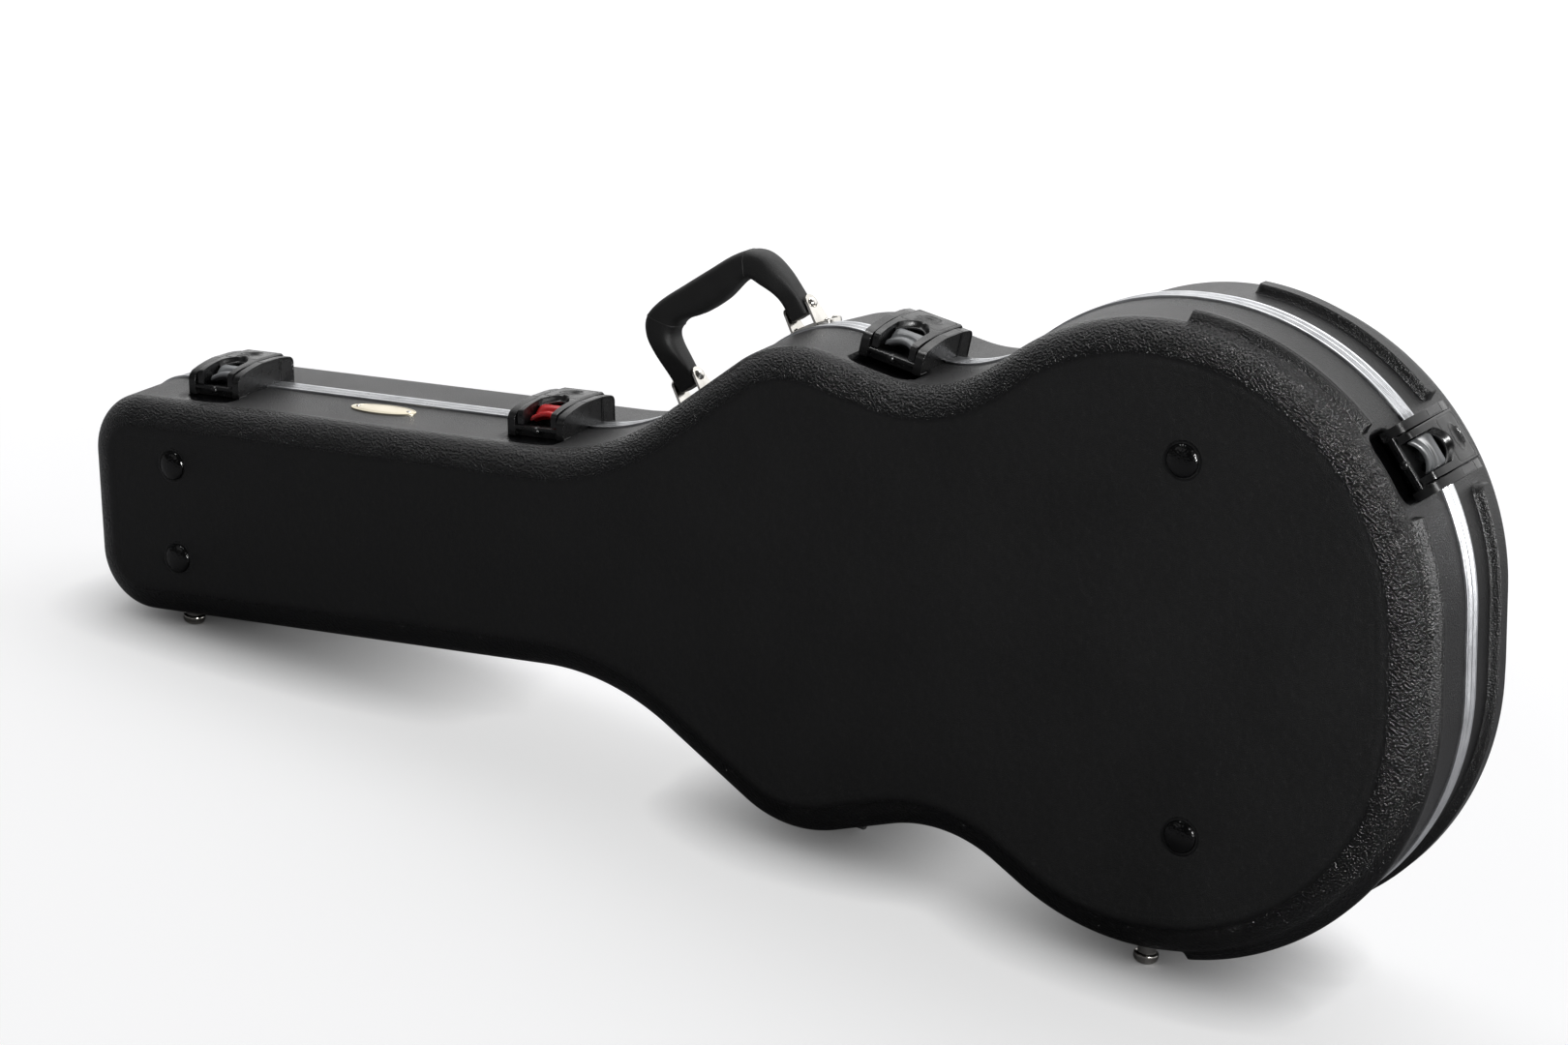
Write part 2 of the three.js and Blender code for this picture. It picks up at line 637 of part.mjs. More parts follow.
function compartmentBox() {
  const [x0, x1] = BOX;
  const room = moulded(1, -SHELL_WALL - 2 * GAP - LINING, LINING_START, 2);
  const inside = moulded(1, -SHELL_WALL - 2 * GAP - LINING - BOX_WALL, LINING_START, 2);
  const outer = block(x0, x1, BOX_TOP, 92, -BOX_HALF, BOX_HALF).intersect(room);
  const half = BOX_HALF - BOX_WALL;
  const hollow = block(x0 + BOX_WALL, x1 - BOX_WALL, BOX_TOP - 2, 92, -half, half).intersect(inside);
  return outer.subtract(hollow);
}

function compartmentFlap() {
  const y0 = BOX_TOP - GAP - FLAP_THICK;
  const plate = block(BOX[0] + FLAP_THICK / 2, BOX[1], y0, y0 + FLAP_THICK, -BOX_HALF, BOX_HALF);
  const roll = new THREE.CylinderGeometry(FLAP_THICK / 2, FLAP_THICK / 2, 2 * BOX_HALF, 12);
  roll.rotateX(Math.PI / 2).translate(BOX[0] + FLAP_THICK / 2, y0 + FLAP_THICK / 2, 0);
  return union(plate, toSolid(roll));
}

function flapTab() {
  const y1 = BOX_TOP - 2 * GAP - FLAP_THICK;
  return block(BOX[1] - 16, BOX[1] + 8, y1 - 1.5, y1, -9, 9);
}

add(caseFrame, 'neck_cradle', cradle(), PLUSH);
add(caseFrame, 'compartment_box', compartmentBox(), PLUSH);
add(caseFrame, 'compartment_flap', compartmentFlap(), PLUSH);
add(caseFrame, 'compartment_tab', flapTab(), GRIP_BLACK);

// The origin is the middle of the footprint, on the surface that the glides stand on.
guitarCase.updateMatrixWorld(true);
const extent = new THREE.Box3().setFromObject(guitarCase, true);
const middle = extent.getCenter(new THREE.Vector3());
guitarCase.position.set(-middle.x, -middle.y, -extent.min.z);

export default guitarCase;
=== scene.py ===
"""A moulded hard-shell guitar case standing on its long edge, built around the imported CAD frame.

Case coordinates, in mm: x runs from the head end to the butt, y through the thickness (lid
negative, base positive, parting plane at 0) and z across the case towards the handle.
"""
import json
import math
import bpy
import bmesh
import numpy as np
from mathutils import Matrix, Vector


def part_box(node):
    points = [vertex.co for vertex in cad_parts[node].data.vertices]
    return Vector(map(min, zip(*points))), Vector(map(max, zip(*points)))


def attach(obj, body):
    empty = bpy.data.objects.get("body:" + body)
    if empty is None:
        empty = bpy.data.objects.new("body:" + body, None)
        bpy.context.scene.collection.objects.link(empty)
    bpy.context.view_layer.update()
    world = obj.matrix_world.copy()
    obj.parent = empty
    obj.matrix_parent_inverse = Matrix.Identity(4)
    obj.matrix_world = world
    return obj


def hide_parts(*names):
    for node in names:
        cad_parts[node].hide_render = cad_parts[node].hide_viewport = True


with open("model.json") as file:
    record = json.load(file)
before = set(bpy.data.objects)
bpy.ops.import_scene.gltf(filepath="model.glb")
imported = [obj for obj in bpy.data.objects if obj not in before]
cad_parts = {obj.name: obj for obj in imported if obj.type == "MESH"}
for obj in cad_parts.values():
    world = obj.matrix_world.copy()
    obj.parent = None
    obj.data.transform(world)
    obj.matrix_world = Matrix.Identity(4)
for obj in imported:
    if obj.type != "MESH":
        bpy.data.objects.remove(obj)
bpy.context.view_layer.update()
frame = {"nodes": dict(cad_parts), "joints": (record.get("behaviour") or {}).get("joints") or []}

MM = 0.001
JOINTS = {joint["name"]: joint for joint in frame["joints"]}

# ---------------------------------------------------------------- driving sizes, mm
LENGTH = 1120
TILT = math.radians(9.2)
TURNS = [
    (0, 91.6, 51.8), (487, 86.4, 182), (635, 187.6, 93), (764.7, 153.7, 97),
    (870.8, 225.4, 181), (964.7, 219.2, 183), (LENGTH, 162.5, 198),
]
DEPTH = {"lid": 82, "base": 94}
SIDE = {"lid": -1, "base": 1}
HALVES = ("base", "lid")
SHELL_WALL = 3
DRAFT = 2.9
FILLET_IN = 28.6
FILLET_DEEP = 20
WALL_TOP = {half: depth - FILLET_DEEP for half, depth in DEPTH.items()}
BAND_HALF = 9
BAND_PROUD = 1.5
BAND_WALL = 6.8
RIM = BAND_HALF + 0.15
LINING = 5
LINING_START = 16.6
LINING_INSET = SHELL_WALL + 0.4

RIB_DEPTH = {"lid": 56.5, "base": 46}
RIB_HALF = {"lid": 5.0, "base": 7.5}
RIB_CREST = {"lid": 2.6, "base": 6.5}
RIB_FALL = {"lid": 7.5, "base": 2.8}
RIB_INSET = {"lid": -2.6, "base": -4}
RIB_EDGE = {"lid": 2.2, "base": 2.8}
RIB_GROOVE = {"lid": 0.7, "base": 0}
GROOVE_BACK = 1.1
GROOVE_WIDE = 0.5
RIB_SPAN = (945, 1070)
RIB_BUTT = 103

DOME_RADIUS = 11.5
DOME_HEIGHT = 4.5
DOMES = [(93, 37), (93, -37), (951, 128), (951, -128)]
GLIDE_HEAD = (88, -45, -87.4)  # where the lid's head-end glide touches the ground

LATCH_HALF = 25
RAIL_INSIDE = 18.5
LATCH_NEAR = -44
LATCH_SPLIT = 8
LATCH_FAR = 24
PIN_Y = 15
PIN_Z = 12.5
TAIL_RADIUS = 8.5
MOUTH_HALF = 12.4
MOUTH_SIDE = -22
MOUTH_DEEP = -9
LEG_STEEPNESS = 8
LEG_LIP = 0.6
COVER_HALF = 18
COVER_TAPER = 0.9
PLATE_END = 19
LOCK_Y = 4
LOCK_RADIUS = 4.7
LOCK_TOP = 18.9
LOCK_BOTTOM = 16.5
TRIGGER_HALF = 11.6
POCKET_DEPTH = {1: 2.4, 2: 2.4, 3: 5.0, 4: 6.5}

HOLLOW_HALF = 27
HOLLOW_DEPTH = 46
HOLLOW_WIDE = 17

PLATE_CENTRE = (260, -28.5)
PLATE_SIZE = (60, 22)
PLATE_PINS = 24
GRIP_THICK = 12.2
STRAP_REACH = (41, 82)
EAR_PLANES = ((45.9, 47.7), (66.8, 68.8))
RIVET_SPAN = (43.3, 71.4)


# ---------------------------------------------------------------- numbers
def smooth_step(t):
    t = np.clip(t, 0, 1)
    return t * t * (3 - 2 * t)


def catmull(points, per_span, closed=False):
    """A smooth line through the points, with per_span steps between neighbours."""
    p = np.array(points, float)
    n = len(p)
    spans = n if closed else n - 1
    made = []
    for i in range(spans):
        if closed:
            a, b, c, d = (p[(i + k) % n] for k in (-1, 0, 1, 2))
        else:
            a, b, c, d = (p[min(max(i + k, 0), n - 1)] for k in (-1, 0, 1, 2))
        for t in np.arange(per_span) / per_span:
            made.append(0.5 * (2 * b + (c - a) * t + (2 * a - 5 * b + 4 * c - d) * t ** 2
                               + (3 * b - a - 3 * c + d) * t ** 3))
    if not closed:
        made.append(p[-1])
    return np.array(made)


def full_turn(sides):
    return np.linspace(0, 2 * math.pi, sides, endpoint=False)


def dense_half(step=0.5):
    """Columns s, x, z, nx, nz along one half of the outline, from the head end to the butt."""
    stops = np.array([(0, 0), *[(x, z) for x, z, _ in TURNS], (LENGTH, 0)], float)
    places, normals = [stops[0]], [np.array((-1.0, 0.0))]
    for i, (_, _, radius) in enumerate(TURNS, 1):
        before = stops[i] - stops[i - 1]
        after = stops[i + 1] - stops[i]
        before /= np.linalg.norm(before)
        after /= np.linalg.norm(after)
        turn = math.atan2(before[0] * after[1] - before[1] * after[0], before @ after)
        start = stops[i] - before * radius * math.tan(abs(turn) / 2)
        side = math.copysign(1, turn)
        to_centre = np.array((-before[1], before[0])) * side
        count = max(2, int(abs(turn) * radius / step))
        for k in range(count + 1):
            c, s = math.cos(turn * k / count), math.sin(turn * k / count)
            arm = -np.array((to_centre[0] * c - to_centre[1] * s, to_centre[0] * s + to_centre[1] * c))
            places.append(start + to_centre * radius + arm * radius)
            normals.append(arm * -side)
    places.append(stops[-1])
    normals.append(np.array((1.0, 0.0)))
    places, normals = np.array(places), np.array(normals)
    s = np.concatenate(([0], np.cumsum(np.linalg.norm(np.diff(places, axis=0), axis=1))))
    return s, places, normals


DENSE_S, DENSE_AT, DENSE_NORMAL = dense_half()
HALF_LENGTH = DENSE_S[-1]


def outline_at(s):
    """Point and outward normal of the outline at a distance, or at a row of distances."""
    at = np.stack([np.interp(s, DENSE_S, DENSE_AT[:, k]) for k in (0, 1)], -1)
    normal = np.stack([np.interp(s, DENSE_S, DENSE_NORMAL[:, k]) for k in (0, 1)], -1)
    return at, normal


def s_of_x(x):
    return float(np.interp(x, DENSE_AT[:, 0], DENSE_S))


def s_of_butt_height(z):
    tail = DENSE_AT[:, 0] > 1000
    return float(np.interp(-z, -DENSE_AT[tail, 1], DENSE_S[tail]))


RIB_ENDS = [s_of_x(RIB_SPAN[0]), s_of_x(RIB_SPAN[1]), s_of_butt_height(RIB_BUTT)]


class Outline:
    """Samples round the whole plan outline. s is the distance along, fold the distance on one half."""

    def __init__(self, spacing, fine=0.9, reach=14):
        near = np.arange(0, HALF_LENGTH, spacing)
        for end in RIB_ENDS:
            near = near[abs(near - end) > reach]
            near = np.concatenate((near, np.arange(end - reach, end + reach, fine)))
        half = np.concatenate((np.unique(np.round(near, 3)), [HALF_LENGTH]))
        self.s = np.concatenate((half, 2 * HALF_LENGTH - half[-2:0:-1]))
        self.fold = np.minimum(self.s, 2 * HALF_LENGTH - self.s)
        self.upper = self.s <= HALF_LENGTH
        self.at, self.normal = outline_at(self.fold)
        self.at[~self.upper, 1] *= -1
        self.normal[~self.upper, 1] *= -1
        self.normal /= np.linalg.norm(self.normal, axis=1)[:, None]

    def ring(self, inset, y):
        """Points at an inset and a thickness y. Either may differ from point to point."""
        inset = np.broadcast_to(inset, self.s.shape)
        at = self.at - self.normal * inset[:, None]
        return np.stack((at[:, 0], np.broadcast_to(y, self.s.shape), at[:, 1]), 1)


# ---------------------------------------------------------------- places, read from the frame
def case_matrix():
    low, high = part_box("lid_glide_head")
    glide = Vector([k * MM for k in GLIDE_HEAD])
    foot = Vector(((low.x + high.x) / 2, (low.y + high.y) / 2, low.z))
    return Matrix.Translation(foot - glide) @ Matrix.Rotation(-TILT, 4, "Y") @ Matrix.Scale(MM, 4)


CASE = case_matrix()


def local_matrix(origin, x_axis):
    """Maps mm along x_axis, along the thickness and outwards to the row frame."""
    x = Vector(x_axis).normalized()
    y = Vector((0, 1, 0))
    turned = Matrix((x, y, x.cross(y))).transposed().to_4x4()
    return Matrix.Translation(origin) @ turned @ Matrix.Scale(MM, 4)


def latch_matrix(number):
    """Latch coordinates: x along the case, y through the thickness, z out, 0 on the rim's line."""
    joint = JOINTS[f"latch_cover_{number}_flip"]
    at_pin = local_matrix(Vector(joint["pos_m"]), -Vector(joint["axis"]))
    return at_pin @ Matrix.Translation((0, -PIN_Y, -PIN_Z))


def handle_matrix():
    joint = JOINTS["handle_swing"]
    return local_matrix(Vector(joint["pos_m"]), Vector(joint["axis"]))


LATCH = {number: latch_matrix(number) for number in (1, 2, 3, 4)}
HANDLE = handle_matrix()


def to_case(matrix, point):
    return CASE.inverted() @ matrix @ Vector(point)


LATCH_S = {number: s_of_x(to_case(LATCH[number], (0, 0, 0)).x) for number in LATCH}


def rim_height(matrix, x):
    """How high the outline stands, in a local frame, at a local x."""
    change = matrix.inverted() @ CASE
    points = [change @ Vector((a, 0, b)) for a, b in DENSE_AT[::4]]
    near = sorted((p.x, p.z) for p in points if abs(p.x) < 130 and p.z > -80)
    return float(np.interp(x, [p[0] for p in near], [p[1] for p in near]))


# ---------------------------------------------------------------- meshes
def grid_faces(rows, cols, wrap_rows=False, wrap_cols=False, start=0):
    """Four-sided faces over a grid of vertices that are numbered row by row."""
    i = np.arange(rows if wrap_rows else rows - 1)[:, None]
    j = np.arange(cols if wrap_cols else cols - 1)[None, :]
    below = ((i + 1) % rows) * cols
    right = (j + 1) % cols
    quads = np.stack((i * cols + j, i * cols + right, below + right, below + j), -1)
    return (quads.reshape(-1, 4) + start).tolist()


def linked(name, data):
    """A new object in the scene."""
    made = bpy.data.objects.new(name, data)
    bpy.context.scene.collection.objects.link(made)
    return made


def shade(mesh, sharp):
    """Smooth shading, with creases at edges sharper than an angle in degrees."""
    mesh.shade_smooth()
    mesh.set_sharp_from_angle(angle=math.radians(sharp))


def body_from(name, verts, faces, matrix, sharp=38):
    """A body from vertices and faces in local mm, with its faces turned outwards."""
    mesh = bpy.data.meshes.new(name)
    mesh.from_pydata(np.asarray(verts, float).tolist(), [], faces)
    mesh.transform(matrix)
    bm = bmesh.new()
    bm.from_mesh(mesh)
    bmesh.ops.recalc_face_normals(bm, faces=bm.faces)
    bm.to_mesh(mesh)
    bm.free()
    shade(mesh, sharp)
    return linked(name, mesh)


def settle(piece, body, slot, *materials, replaces=()):
    """Gives a piece its finish and its body, and hides the CAD nodes that it stands for."""
    piece.data.materials.clear()
    for material in materials:
        piece.data.materials.append(material)
    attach(piece, body)
    if replaces:
        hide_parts(*replaces)
    return piece


def stack_faces(rings):
    """Faces over a stack of closed rings, with a flat face at each end."""
    count = len(rings[0])
    faces = grid_faces(len(rings), count, wrap_cols=True)
    faces.append(list(range(count))[::-1])
    faces.append([(len(rings) - 1) * count + k for k in range(count)])
    return faces


def loft(name, rings, matrix, capped=True, sharp=38):
    """A body through a stack of closed rings, with flat ends or closed on itself."""
    if capped:
        faces = stack_faces(rings)
    else:
        faces = grid_faces(len(rings), len(rings[0]), wrap_rows=True, wrap_cols=True)
    return body_from(name, np.concatenate(rings), faces, matrix, sharp)


def slab_parts(top, bottom):
    """Vertices and faces of a body between two grids of the same shape."""
    rows, cols = top.shape[:2]
    start = rows * cols
    faces = grid_faces(rows, cols)
    faces += [face[::-1] for face in grid_faces(rows, cols, start=start)]
    edge = [(0, j) for j in range(cols)] + [(i, cols - 1) for i in range(1, rows)]
    edge += [(rows - 1, j) for j in range(cols - 2, -1, -1)] + [(i, 0) for i in range(rows - 2, 0, -1)]
    loop = [i * cols + j for i, j in edge]
    for a, b in zip(loop, loop[1:] + loop[:1]):
        faces.append([a, a + start, b + start, b])
    return np.concatenate((top.reshape(-1, 3), bottom.reshape(-1, 3))), faces


def lathe_parts(profile, sides=48):
    """A body turned about z. The profile runs as (radius, height) from axis to axis."""
    turn = full_turn(sides)
    inner = profile[1:-1]
    rings = [np.stack((r * np.cos(turn), r * np.sin(turn), np.full(sides, h)), 1) for r, h in inner]
    verts = np.concatenate([*rings, [(0, 0, profile[0][1])], [(0, 0, profile[-1][1])]])
    faces = grid_faces(len(inner), sides, wrap_cols=True)
    first, last = len(inner) * sides, len(inner) * sides + 1
    for k in range(sides):
        after = (k + 1) % sides
        faces.append([first, after, k])
        faces.append([last, (len(inner) - 1) * sides + k, (len(inner) - 1) * sides + after])
    return verts, faces


def joined(parts):
    """Several (vertices, faces) as one."""
    verts, faces, start = [], [], 0
    for v, f in parts:
        verts.append(np.asarray(v, float))
        faces += [[k + start for k in face] for face in f]
        start += len(v)
    return np.concatenate(verts), faces


def moved(parts, matrix):
    verts, faces = parts
    rotation = np.array(matrix.to_3x3())
    return verts @ rotation.T + np.array(matrix.translation), faces


def bevelled(piece, width, segments=3, angle=28):
    bevel = piece.modifiers.new("Edges", "BEVEL")
    bevel.width = width * MM
    bevel.segments = segments
    bevel.limit_method = "ANGLE"
    bevel.angle_limit = math.radians(angle)
    bevel.harden_normals = True
    return piece


def prism(profile, x0, x1):
    """A (y, z) profile extruded along x. The faces come as ends first, then one per side."""
    n = len(profile)
    verts = [(x, y, z) for x in (x0, x1) for y, z in profile]
    faces = [list(range(n))[::-1], [n + k for k in range(n)]]
    faces += [[k, (k + 1) % n, n + (k + 1) % n, n + k] for k in range(n)]
    return np.array(verts, float), faces


def with_panels(name, parts, panels, matrix):
    """A body on which the faces nearest to given points are inset: (point, border, rise)."""
    piece = body_from(name, *parts, Matrix.Identity(4))
    bm = bmesh.new()
    bm.from_mesh(piece.data)
    for point, border, rise in panels:
        face = min(bm.faces, key=lambda f: (f.calc_center_median() - Vector(point)).length)
        bmesh.ops.inset_individual(bm, faces=[face], thickness=border, depth=0)
        bmesh.ops.inset_individual(bm, faces=[face], thickness=0.25, depth=rise)
    bm.to_mesh(piece.data)
    bm.free()
    piece.data.transform(matrix)
    shade(piece.data, 30)
    return piece


# ---------------------------------------------------------------- materials
class Nodes:
    """A small helper that adds shader nodes and links them."""

    def __init__(self, name):
        self.material = bpy.data.materials.new(name)
        self.material.use_nodes = True
        self.tree = self.material.node_tree
        self.tree.nodes.clear()
        self.shader = self.tree.nodes.new("ShaderNodeBsdfPrincipled")
        output = self.tree.nodes.new("ShaderNodeOutputMaterial")
        self.tree.links.new(self.shader.outputs[0], output.inputs["Surface"])
        self.place = self.tree.nodes.new("ShaderNodeTexCoord").outputs["Object"]

    def add(self, kind, inputs=(), output=0, **settings):
        node = self.tree.nodes.new(kind)
        for key, value in settings.items():
            setattr(node, key, value)
        for key, value in dict(inputs).items():
            self.set(node, key, value)
        return node.outputs[output]

    def set(self, node, key, value):
        if isinstance(value, bpy.types.NodeSocket):
            self.tree.links.new(value, node.inputs[key])
        else:
            node.inputs[key].default_value = value

    def fix(self, **values):
        """Constants on the shader's own sockets."""
        for key, value in values.items():
            self.shader.inputs[key.replace("_", " ")].default_value = value

    def link(self, key, socket):
        self.tree.links.new(socket, self.shader.inputs[key])

    def noise(self, scale, detail=3, place=None):
        inputs = {"Vector": place or self.place, "Scale": scale, "Detail": detail}
        return self.add("ShaderNodeTexNoise", inputs, output="Fac")

    def cells(self, scale, feature="F1", place=None):
        inputs = {"Vector": place or self.place, "Scale": scale}
        return self.add("ShaderNodeTexVoronoi", inputs, output="Distance", feature=feature)

    def ramp(self, value, low, high, start, end):
        inputs = {"Value": value, "From Min": low, "From Max": high, "To Min": start, "To Max": end}
        return self.add("ShaderNodeMapRange", inputs)

    def maths(self, operation, a, b):
        return self.add("ShaderNodeMath", {0: a, 1: b}, operation=operation)

    def blend(self, factor, a, b):
        node = self.tree.nodes.new("ShaderNodeMix")
        node.data_type = "RGBA"
        self.set(node, 0, factor)
        for slot, value in ((6, a), (7, b)):
            colour = value if isinstance(value, bpy.types.NodeSocket) else (*value, 1)
            self.set(node, slot, colour)
        return node.outputs[2]

    def bump(self, height, distance, strength=1.0, normal=None):
        inputs = {"Height": height, "Distance": distance, "Strength": strength}
        if normal:
            inputs["Normal"] = normal
        return self.add("ShaderNodeBump", inputs)

    def edge_wear(self, low=0.53, high=0.62):
        pointed = self.add("ShaderNodeNewGeometry", output="Pointiness")
        return self.ramp(pointed, low, high, 0, 1)


def moulded_plastic():
    """Satin grain on the walls, a sparkling pebble round the edge, fine leather grain on the panel."""
    n = Nodes("moulded_plastic")
    coarse, gloss, panel = (
        n.add("ShaderNodeAttribute", output="Fac", attribute_name=name)
        for name in ("coarse", "gloss", "panel")
    )
    fine = n.maths("ADD", n.cells(900, "SMOOTH_F1"), n.noise(1500, 2))
    pebble = n.maths("ADD", n.cells(560), n.maths("MULTIPLY", n.noise(1000, 2), 0.5))
    drift = n.add("ShaderNodeTexNoise", {"Vector": n.place, "Scale": 160, "Detail": 3}, output="Color")
    warped = n.add("ShaderNodeMix", {0: 0.004, 4: n.place, 5: drift}, output=1, data_type="VECTOR")
    crease = n.ramp(n.cells(850, "DISTANCE_TO_EDGE", warped), 0, 0.25, 0, 1)
    walls = n.maths("SUBTRACT", n.maths("SUBTRACT", 1.0, panel), gloss)
    ground = n.bump(fine, 0.00036, walls)
    ground = n.bump(crease, 0.00012, panel, ground)
    ground = n.bump(n.cells(700, "SMOOTH_F1"), 0.0003, gloss, ground)
    n.link("Normal", n.bump(pebble, 0.001, coarse, ground))
    colour = n.blend(n.noise(9, 4), (0.0018, 0.0018, 0.0024), (0.0032, 0.0032, 0.0040))
    n.link("Base Color", n.blend(n.edge_wear(0.56, 0.75), colour, (0.013, 0.013, 0.0145)))
    satin = n.ramp(n.noise(14, 3), 0.3, 0.7, 0.34, 0.42)
    rough = n.maths("SUBTRACT", satin, n.maths("MULTIPLY", coarse, 0.2))
    rough = n.maths("ADD", rough, n.maths("MULTIPLY", panel, 0.16))
    n.link("Roughness", n.maths("SUBTRACT", rough, n.maths("MULTIPLY", gloss, 0.2)))
    n.fix(Specular_IOR_Level=0.36)
    return n.material


def metal(name, colour, worn, low, high, streak=900, bump=0.000012):
    """Plated or drawn metal: roughness drifts, with hairline streaks and dulled patches."""
    n = Nodes(name)
    stretched = n.add("ShaderNodeMapping", {"Vector": n.place, "Scale": (0.05, 1, 1)})
    hairline = n.noise(streak * 2.5, 4, stretched)
    n.link("Base Color", n.blend(n.ramp(n.noise(60, 5), 0.42, 0.72, 0, 1), colour, worn))
    n.link("Roughness", n.ramp(n.maths("ADD", hairline, n.noise(45, 3)), 0.6, 1.4, low, high))
    n.link("Normal", n.bump(hairline, bump))
    n.fix(Metallic=1.0)
    return n.material


def smooth_plastic(name, colour, worn, roughness, specular=0.5):
    """Injection-moulded plastic with a faint spark texture, mottling and rubbed edges."""
    n = Nodes(name)
    spark = n.noise(2600, 3)
    mottled = n.blend(n.noise(55, 4), colour, tuple(c * 1.25 for c in colour))
    n.link("Base Color", n.blend(n.edge_wear(), mottled, worn))
    n.link("Roughness", n.ramp(n.noise(130, 5), 0.3, 0.7, roughness - 0.05, roughness + 0.09))
    n.link("Normal", n.bump(spark, 0.000035))
    n.fix(Specular_IOR_Level=specular)
    return n.material


def grained_grip():
    """Soft moulded grip with a fine pebble."""
    n = Nodes("grained_grip")
    grain = n.maths("ADD", n.cells(1250, "SMOOTH_F1"), n.maths("MULTIPLY", n.noise(2400, 2), 0.7))
    n.link("Normal", n.bump(grain, 0.00015))
    n.link("Base Color", n.blend(n.noise(40, 4), (0.0055, 0.0055, 0.0057), (0.010, 0.010, 0.0102)))
    n.link("Roughness", n.ramp(n.noise(70, 4), 0.3, 0.7, 0.52, 0.64))
    n.fix(Specular_IOR_Level=0.4)
    return n.material


def plush():
    """Short dense pile: brushed patches, lighter tips and fibre bump."""
    n = Nodes("plush")
    fibre = n.noise(2300, 4)
    tuft = n.maths("ADD", fibre, n.maths("MULTIPLY", n.noise(420, 4), 0.9))
    brushed = n.ramp(n.noise(16, 4), 0.36, 0.64, 0, 1)
    body = n.blend(brushed, (0.012, 0.012, 0.014), (0.028, 0.028, 0.032))
    n.link("Base Color", n.blend(n.ramp(fibre, 0.52, 0.75, 0, 0.6), body, (0.075, 0.075, 0.083)))
    n.link("Roughness", n.ramp(tuft, 0.6, 1.2, 0.86, 0.98))
    n.link("Normal", n.bump(tuft, 0.0006))
    n.fix(Sheen_Weight=0.55, Sheen_Roughness=0.45, Specular_IOR_Level=0.15)
    return n.material


def woven_tape():
    """Flat woven webbing: crossing ribs at 1.3 mm."""
    n = Nodes("woven_tape")
    settings = {"Vector": n.place, "Scale": 240.0, "Distortion": 0.3}
    across = n.add("ShaderNodeTexWave", settings, output="Fac", bands_direction="X")
    along = n.add("ShaderNodeTexWave", settings, output="Fac", bands_direction="Z")
    weave = n.maths("MULTIPLY", across, along)
    n.link("Base Color", n.blend(weave, (0.008, 0.008, 0.009), (0.03, 0.03, 0.032)))
    n.link("Roughness", n.ramp(weave, 0, 1, 0.9, 0.7))
    n.link("Normal", n.bump(weave, 0.0003))
    return n.material


MOULDED = moulded_plastic()
ALUMINIUM = metal("grooved_aluminium", (0.66, 0.67, 0.69), (0.5, 0.51, 0.53), 0.24, 0.42)
NICKEL = metal("nickel_plate", (0.74, 0.72, 0.68), (0.55, 0.53, 0.49), 0.1, 0.26)
STEEL = metal("plated_steel", (0.5, 0.5, 0.51), (0.36, 0.36, 0.37), 0.26, 0.44)
CHAMPAGNE = metal("champagne_plate", (0.72, 0.66, 0.52), (0.62, 0.56, 0.43), 0.28, 0.4)
LATCH_BLACK = smooth_plastic("latch_plastic", (0.007, 0.007, 0.0075), (0.035, 0.035, 0.037), 0.27)
TRIGGER_PAINT = {
    "grey": smooth_plastic("trigger_grey", (0.27, 0.28, 0.29), (0.4, 0.41, 0.42), 0.36),
    "red": smooth_plastic("trigger_red", (0.66, 0.006, 0.01), (0.8, 0.05, 0.05), 0.32),
}
GRIP_BLACK = grained_grip()
PLUSH = plush()
TAPE = woven_tape()


# ---------------------------------------------------------------- shells
OUTLINE = Outline(3.0)
SOFT_OUTLINE = Outline(5.0, fine=5.0)


def wall_inset(half, y):
    """Inset of the moulded wall at a thickness, before ribs and hollows."""
    return BAND_PROUD + DRAFT * np.clip((y - BAND_HALF) / (WALL_TOP[half] - BAND_HALF), 0, 1)


def rib_border(half, outline, y):
    """How far a point lies inside a bumper rib's ends and its edge towards the rim."""
    side = RIB_HALF[half]
    reach = np.full(outline.s.shape, 1e3)
    upper_start, upper_end, butt_start = RIB_ENDS
    for start, end in ((upper_start, upper_end), (butt_start, 2 * HALF_LENGTH - upper_start)):
        along = np.maximum(np.maximum(start + side - outline.s, outline.s - end + side), 0)
        reach = np.minimum(reach, np.hypot(along, min(y - RIB_DEPTH[half], 0)))
    return side - reach


def hollow_depth(half, outline, y):
    """Finger hollows in the lid under the near ends of the latches."""
    if half == "base":
        return np.zeros(outline.s.shape)
    return sum(depth * hollow_share(number, outline.s, y) for number, depth in POCKET_DEPTH.items())


def hollow_share(number, s, y):
    """1 in the middle of a latch's finger hollow and 0 outside it."""
    along = abs(s - LATCH_S[number]) / HOLLOW_HALF
    across = abs(y - HOLLOW_DEPTH) / HOLLOW_WIDE
    return smooth_step(1.6 * (1 - (along ** 4 + across ** 4)))


def wall_depths(half):
    """Ring depths up the wall, close together over a rib."""
    top = WALL_TOP[half]
    rib = RIB_DEPTH[half]
    coarse = [y for y in np.arange(RIM + 2, top, 2.2) if abs(y - rib) > 10]
    close = [y for y in np.arange(rib - 10, rib + 10, 0.6) if y < top]
    return sorted({round(float(y), 3) for y in [*coarse, *close, top]})


def fillet_ring(half, cover, angle):
    """(inset, depth) at an angle up the rounded edge from the wall, cover mm inside its surface."""
    inset = BAND_PROUD + DRAFT + FILLET_IN - (FILLET_IN - cover) * math.cos(angle)
    return inset, WALL_TOP[half] + (FILLET_DEEP - cover) * math.sin(angle)


